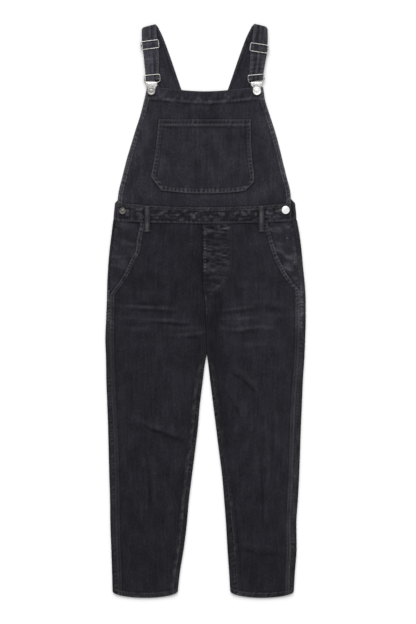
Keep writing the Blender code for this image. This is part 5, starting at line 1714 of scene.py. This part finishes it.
def bib_pocket():
    """The patch pocket with twin rows round its sides and foot, one below its mouth, and a tack at
    each end of its mouth."""
    steps = EDGE_STEPS + (13.5, 15, 16, 17, 18.5)
    guide = spaced(POCKET_MOUTH, POCKET_FOOT, 2.4, steps, EDGE_STEPS)[:, None]
    x = across(*sides_of(POCKET_SIDES, guide), EDGE_STEPS, 76)
    seats = []
    for offset in STITCH_ROWS:
        heights = np.linspace(POCKET_MOUTH - 2, POCKET_FOOT + offset, 220)[:, None]
        for edge in beside_edges(POCKET_SIDES, heights, offset):
            seats.append(seat_of(pocket_surface, edge, heights))
        right, left = sides_of(POCKET_SIDES, POCKET_FOOT + offset)
        seats.append(level_row(pocket_surface, right + offset, left - offset, POCKET_FOOT + offset, 220))
    _, right, left = POCKET_SIDES[0]
    seats.append(level_row(pocket_surface, right + 9, left - 9, POCKET_MOUTH - MOUTH_STITCH, 220))
    for tack_x in (right + 5, left - 5):
        seats += bartack(tack_x, POCKET_MOUTH - 3.5, 6.3, 3.5, 8)
    laid("bib_pocket", pocket_surface(x, guide), seats, 541)


def back_bib():
    """The hidden back bib, plain but for its turned edges."""
    steps = (0, 0.002, 0.005, 0.01, 0.02, 0.035, 0.05, 0.07, 0.09, 0.11)
    part = spaced(-1.0, 1.0, 0.03, steps)[None, :]
    y = spaced(BACK_BAND_TOP + GAP, BACK_BIB_TOP, 4.0, PLAIN_STEPS, EDGE_STEPS)[:, None]
    laid("back_bib", back_bib_surface(part, y))


def belt_loops():
    """Both belt loops, tacked at their heads and feet."""
    part = np.array([-0.5, -0.485, -0.46, -0.42, -0.36, -0.28, -0.2, -0.13, -0.07, 0])
    part = np.concatenate((part, -part[-2::-1]))[None, :]
    y = spaced(LOOP_FOOT, LOOP_TOP, 1.4, (0, 0.2, 0.5, 1.0, 1.8))[:, None]
    heights = np.linspace(LOOP_FOOT + 6, LOOP_TOP - 6, 80)[:, None]
    beside = 0.5 - LOOP_STITCH / LOOP_WIDTH
    for side, wearer in SIDES.items():
        seats = [seat_of(belt_loop_surface, row + 0 * heights, heights, side) for row in (-beside, beside)]
        for tack_y in (LOOP_FOOT + 3.4, LOOP_TOP - 3.4):
            face = seat_of(belt_loop_surface, np.zeros((1, 1)), np.full((1, 1), tack_y), side)
            seats += bartack(BELT_LOOPS[side], tack_y, face[0, 2] + 0.15, 5.6, 13)
        laid(
            "belt_loop_" + wearer,
            belt_loop_surface(part, y, side),
            seats,
            551 + side,
            pitch=2.6,
        )


def strap_seats(cloth, rows, column):
    """One row of stitches on a strap: midway through its ply, raised to its upper face."""
    face, back = cloth.face[rows, column], cloth.back[rows, column]
    return np.concatenate(((face + back)[:, :2] / 2, np.maximum(face, back)[:, 2:]), 1)


def straps():
    """Both straps, with a row of stitches near each edge of the ply behind and of the front ply."""
    part = np.array([0, 0.004, 0.012, 0.028, 0.055, 0.085, 0.12, 0.17, 0.22, 0.28, 0.34, 0.40, 0.45, 0.5])
    part = np.concatenate((part, 1 - part[-2::-1]))
    for side, wearer in SIDES.items():
        cloth = strap_surface(part, side)
        _, front_from, front_to = strap_path(side)
        plies = slice(front_from - 12), slice(front_from + 1, front_to - 1)
        seats = [strap_seats(cloth, ply, column) for column in (4, -5) for ply in plies]
        laid("strap_" + wearer, cloth, seats, 561 + side)


# ---------------------------------------------------------------- hardware


def mirrored(half, *middle):
    """The points of one half, any middle point, and the other half back from there, mirrored in x."""
    return [*half, *middle, *((-x, *rest) for x, *rest in reversed(half))]


def wire_path(points, closed=False, steps=6):
    """A smooth path through the points: between each pair, a cubic with the neighbours' slopes."""
    points = np.array(points, float)
    ends = (points[-1:], points[:2]) if closed else (points[:1], points[[-1, -1]])
    padded = np.concatenate((ends[0], points, ends[1]))
    before, here, after, beyond = (padded[k : k + len(points), None] for k in range(4))
    t = np.linspace(0, 1, steps, endpoint=False)[None, :, None]
    path = cubic(here, (after - before) / 2, after, (beyond - here) / 2, t)
    if closed:
        return path.reshape(-1, 3)
    return np.concatenate((path[:-1].reshape(-1, 3), points[-1:]))


def wire(path, radius, closed=False, sides=12):
    """Points and faces of a round wire: circles square to the path, joined ring to ring. An open
    wire's ends are rounded off by smaller rings and closed."""
    sizes = np.ones(len(path))
    if closed:
        onward = np.roll(path, -1, 0) - np.roll(path, 1, 0)
    else:
        start, end = path[0] - path[1], path[-1] - path[-2]
        start, end = start / np.linalg.norm(start), end / np.linalg.norm(end)
        caps = np.array([0.98, 0.8, 0.4])[:, None] * radius * 0.6
        path = np.concatenate((path[0] + start * caps, path, path[-1] + end * caps[::-1]))
        onward = np.gradient(path, axis=0)
        sizes = np.concatenate(([0.35, 0.72, 0.93], sizes, [0.93, 0.72, 0.35]))
    onward = onward / np.linalg.norm(onward, axis=1)[:, None]
    beside = np.cross(onward, [0, 0, 1.0])
    steep = np.linalg.norm(beside, axis=1)[:, None]
    beside = np.where(steep > 1e-3, beside / np.maximum(steep, 1e-9), [1.0, 0, 0])
    up = np.cross(beside, onward)
    angle = np.linspace(0, 2 * math.pi, sides, endpoint=False)[None, :, None]
    rings = beside[:, None] * np.cos(angle) + up[:, None] * np.sin(angle)
    rings = path[:, None] + rings * radius * sizes[:, None, None]
    return ringed(rings) if closed else capped(rings, [rings[0].mean(0), rings[-1].mean(0)])


def ring_about(middle, along, radius, thick, sides=8, steps=14):
    """A small ring of wire wound once about another one that runs along the given direction."""
    beside = np.cross(along, [0, 0, 1.0])
    up = np.cross(beside, along)
    angle = np.linspace(0, 2 * math.pi, steps, endpoint=False)[:, None]
    centre = np.cos(angle) * beside + np.sin(angle) * up
    turned = np.linspace(0, 2 * math.pi, sides, endpoint=False)[None, :, None]
    rings = centre[:, None] * (radius + thick * np.cos(turned)) + along * thick * 1.2 * np.sin(turned)
    return ringed(middle + rings)


def windings(spot, reach, z, radius, thick, apart):
    """Wire wound twice about each side of a frame, this far to the right and left of its middle."""
    along = placed([(0, 1, 0)], Hardware(0, 0, spot.turn))[0]
    middles = placed([(-reach, 0, z), (reach, 0, z)], spot)
    places = [middle + along * step for middle in middles for step in (-apart, apart)]
    return [ring_about(place, along, radius, thick) for place in places]


def rounded_loop(width, height, corner, z):
    """Points of a rounded rectangle, six to a corner."""
    points = []
    for number, (way_x, way_y) in enumerate(((1, 1), (-1, 1), (-1, -1), (1, -1))):
        around = np.radians(np.linspace(0, 90, 6) + 90 * number)
        x = way_x * (width / 2 - corner) + corner * np.cos(around)
        y = way_y * (height / 2 - corner) + corner * np.sin(around)
        points.append(grid(x, y, z))
    return np.concatenate(points)


def fitting(node, parts, slot, *finishes):
    """A piece of hardware: its parts as one mesh that stands for a solid. Its first part takes the
    first finish and the others take the last."""
    made = mesh_of(node + "_" + slot, *joined_faces(parts), smooth_angle=40)
    for finish in finishes:
        made.data.materials.append(finish)
    number = np.full(len(made.data.polygons), len(finishes) - 1)
    number[: len(parts[0][1])] = 0
    made.data.polygons.foreach_set("material_index", number)
    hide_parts(node)


def sliders():
    """A wire frame over each strap, and a middle bar under it whose ends are wound round the sides."""
    frame_z = STRAP_FACE + STRAP_PLY / 2 + GAP + WIRE_RADIUS
    bar_z = STRAP_FACE + SLIDER_HUMP - STRAP_PLY / 2 - GAP - BAR_RADIUS
    reach = SLIDER_WIDTH / 2
    outline = rounded_loop(SLIDER_WIDTH, SLIDER_HEIGHT, 3.5, frame_z)
    bar_end = [
        (-reach - 0.4, 0, frame_z + 0.2),
        (-reach + 0.8, 0, frame_z - 0.8),
        (-reach + 1.9, 0, bar_z + 0.5),
        (-reach + 4.0, 0, bar_z),
    ]
    bar = mirrored(bar_end, (0, 0, bar_z))
    for side, wearer in SIDES.items():
        spot = SLIDERS[side]
        parts = [
            wire(wire_path(placed(outline, spot), closed=True, steps=3), WIRE_RADIUS, closed=True),
            wire(wire_path(placed(bar, spot)), BAR_RADIUS),
            *windings(spot, reach, frame_z, WIRE_RADIUS + 0.45, 0.55, 1.0),
        ]
        fitting("slider_" + wearer, parts, "nickel", wire_nickel)


def arc(radius, degrees):
    """Points of a circle about the button's axis, at these angles."""
    return [(radius * math.cos(angle), radius * math.sin(angle)) for angle in np.radians(degrees)]


def polar(corners, angles):
    """Distance from the plate's centre to a closed outline at these angles, along straight sides."""
    corners = np.array([*corners, corners[0]])
    steps = np.linspace(0, 1, 40, endpoint=False)[None, :, None]
    line = (corners[:-1, None] * (1 - steps) + corners[1:, None] * steps).reshape(-1, 2)
    line = line - [0, PLATE_CENTRE_Y]
    at = np.arctan2(line[:, 1], line[:, 0])
    order = np.argsort(at)
    return np.interp(angles, at[order], np.hypot(line[:, 0], line[:, 1])[order], period=2 * math.pi)


def plate_edge(angles):
    """Distance from the plate's own centre to its outline at these angles: through a wide shoulder,
    a neck and a ring round the button."""
    wide, neck, top = PLATE_SHOULDER - 1.5, PLATE_NECK, PLATE_TOP
    shoulder = [(wide - 1, top), (wide, top - 1), (wide, top - 9.5), (wide - 1, top - 10.5)]
    half = [*shoulder, (neck + 0.6, top - 11), (neck, top - 12), *arc(PLATE_RING - 1.2, range(20, -91, -10))]
    return polar(mirrored(half[:-1], half[-1]), angles)


def slot_edge(angles):
    """The same for the plate's hole: a slot whose round foot is where the button's shank sits."""
    head = [(SLOT_RADIUS, PLATE_TOP - 13), (-SLOT_RADIUS, PLATE_TOP - 13)]
    return polar(arc(SLOT_RADIUS, range(180, 361, 15)) + head, angles)


def stamped_plate(spot, z):
    """The clip's plate: rings between its outline and its slot, rounded over at both, with a
    pressed rib along its shoulder."""
    angles = np.linspace(-math.pi, math.pi, 120, endpoint=False)
    outer, inner, half = plate_edge(angles), slot_edge(angles), PLATE / 2
    outside = (0, -half), (0, half - 0.35), (0.3, half), (1.2, half + 0.12)
    inside = (1.0, half + 0.12), (0.3, half), (0, half - 0.35), (0, -half)
    profile = [(outer - inset, height) for inset, height in outside]
    profile += [(inner + inset, height) for inset, height in inside]
    radius, height = np.array([ring for ring, _ in profile]), np.array([up for _, up in profile])[:, None]
    rings = grid(radius * np.cos(angles), radius * np.sin(angles) + PLATE_CENTRE_Y, z + height)
    rib = bell(rings[..., 1] - (PLATE_TOP - 2.6), 1.6)
    rib = rib * ease(PLATE_SHOULDER, PLATE_SHOULDER - 4, np.abs(rings[..., 0]))
    rings[..., 2] += 0.5 * rib * (rings[..., 2] > z)
    points, faces = ringed(rings)
    return placed(points, spot), faces


def clips():
    """A wire loop over each strap's end, a bar inside it, and a plate hooked on the button."""
    plate_z = BIB_REST + RAISE + GAP + PLATE / 2
    bar_z = STRAP_RETURN + STRAP_END_TURN
    loop_z = bar_z + STRAP_END_TURN + STRAP_PLY / 2 + GAP + WIRE_RADIUS
    side_z = (plate_z + loop_z) / 2
    reach = CLIP_WIDTH / 2
    loop_side = [
        (-reach + 7.5, -7.6, plate_z),
        (-reach + 5.0, -7.2, plate_z),
        (-reach + 1.8, -5.4, plate_z + 0.2),
        (-reach, -2.0, plate_z + 0.3),
        (-reach, 0.0, side_z),
        (-reach, CLIP_TOP - 4.5, loop_z - 0.4),
        (-reach + 0.3, CLIP_TOP - 2.0, loop_z - 0.1),
        (-reach + 1.2, CLIP_TOP - 0.6, loop_z),
        (-reach + 3.2, CLIP_TOP, loop_z),
    ]
    bar = mirrored([(-reach - 1.0, 0, bar_z)], (0, 0, bar_z))
    for side, wearer in SIDES.items():
        spot = CLIP_LOOPS[side]
        parts = [
            stamped_plate(PLATES[side], plate_z),
            wire(wire_path(placed(mirrored(loop_side), spot), steps=4), WIRE_RADIUS),
            wire(wire_path(placed(bar, spot), steps=4), BAR_RADIUS),
            *windings(spot, reach, side_z, WIRE_RADIUS + 0.4, 0.5, 0.9),
        ]
        fitting("clip_" + wearer, parts, "nickel", plate_nickel, wire_nickel)


def lathe(profile, x, y, steps=56):
    """Points and faces of a turned shape: the profile of (radius, height) carried round an upright
    axis at x and y, on which its first and last points lie."""
    radius, height = np.array(profile, float).T[:, :, None]
    angle = np.linspace(0, 2 * math.pi, steps, endpoint=False)
    rings = grid(x + radius * np.cos(angle), y + radius * np.sin(angle), height)
    return capped(rings[1:-1], [rings[0, 0], rings[-1, 0]])


def button_profile(radius, foot, seat, dished):
    """A shanked button from its crown down to its foot. Its cap has a rolled rim; a dished one also
    has a ring pressed round a low middle."""
    if dished:
        crown = (0, 2.9), (0.24, 2.85), (0.36, 2.7), (0.46, 2.35), (0.54, 2.25), (0.62, 2.4), (0.7, 2.7)
    else:
        crown = (0, 2.9), (0.2, 2.89), (0.42, 2.86), (0.56, 2.82), (0.64, 2.72), (0.7, 2.64), (0.74, 2.66)
    rim = (0.78, 2.62), (0.84, 2.72), (0.9, 2.7), (0.95, 2.45), (0.985, 2), (1, 1.4), (0.985, 0.7)
    under = (0.95, 0.25), (0.88, 0)
    cap = [(part * radius, seat + height) for part, height in crown + rim + under]
    return (*cap, (SHANK_RADIUS, seat), (SHANK_RADIUS, foot), (0.0, foot))


def buttons():
    """Two buttons that hold the clips, and two at the waist whose shanks reach the back band."""
    foot = BIB_REST + RAISE + GAP
    holding = button_profile(BIB_BUTTON_RADIUS, foot, foot + PLATE + GAP, dished=True)
    for side, wearer in SIDES.items():
        # the wearer's right button takes the nickel painted darker for its darker reflection
        finish = nickel if side > 0 else shaded_nickel
        fitting("bib_button_" + wearer, [lathe(holding, *PLATES[side][:2])], "nickel", finish)
        x, y, radius = WAIST_BUTTONS[side]
        cap = radius if side < 0 else 0.95 * radius
        profile = button_profile(cap, DOUBLED + GAP, band_face(x) + GAP, dished=side < 0)
        slot, finish = ("nickel", satin_nickel) if side > 0 else ("aged_brass", brass)
        fitting("waist_button_" + wearer, [lathe(profile, x, y)], slot, finish)


back_legs()
pocket_facings()
front_legs()
back_waistband()
back_bib()
straps()
front_bib()
bib_pocket()
front_waistband()
belt_loops()
sliders()
clips()
buttons()


# ---------------------------------------------------------------- floor, light and camera

FLOOR_HALF = 40.0
FLOOR_DEPTH = -0.0001
CAMERA_PLACE = (0.006, -0.0019, 3.541)


def studio():
    """A plain white floor, a white surround brightest overhead, and one broad soft light from beyond
    the straps."""
    mesh = bpy.data.meshes.new("floor")
    corners = [(-1, -1), (1, -1), (1, 1), (-1, 1)]
    mesh.from_pydata([(x * FLOOR_HALF, y * FLOOR_HALF, FLOOR_DEPTH) for x, y in corners], [], [(0, 1, 2, 3)])
    floor = linked("floor", mesh)
    white, tree, shader = shader_of("white_floor")
    fill(tree, shader, {"Base Color": (0.90, 0.90, 0.90, 1), "Roughness": 0.9, "Specular IOR Level": 0.1})
    mesh.materials.append(white)
    world = bpy.data.worlds.new("surround")
    world.use_nodes = True
    tree = world.node_tree
    upward = put(tree, "ShaderNodeSeparateXYZ", {0: put(tree, "ShaderNodeTexCoord", {}, "Generated")}, 2)
    sky = put(tree, "ShaderNodeMath", {0: scaled(tree, upward, 0.72, 0.18), 1: 0.18}, operation="MAXIMUM")
    fill(tree, tree.nodes["Background"], {0: (1, 1, 1, 1), 1: sky})
    bpy.context.scene.world = world
    light = bpy.data.lights.new("window", "SUN")
    light.energy = 2.3
    light.angle = math.radians(50)
    window = linked("window", light)
    window.rotation_euler = (math.radians(-48), math.radians(-8), 0)


def camera():
    """Straight down over the middle of the photograph's frame: 1.498 m of floor from top to bottom."""
    lens = bpy.data.cameras.new("camera")
    lens.lens = 85.0
    lens.sensor_width = lens.sensor_height = 36.0
    made = linked("camera", lens)
    made.location = CAMERA_PLACE
    bpy.context.scene.camera = made


studio()
camera()
bpy.context.scene.view_settings.view_transform = "Standard"
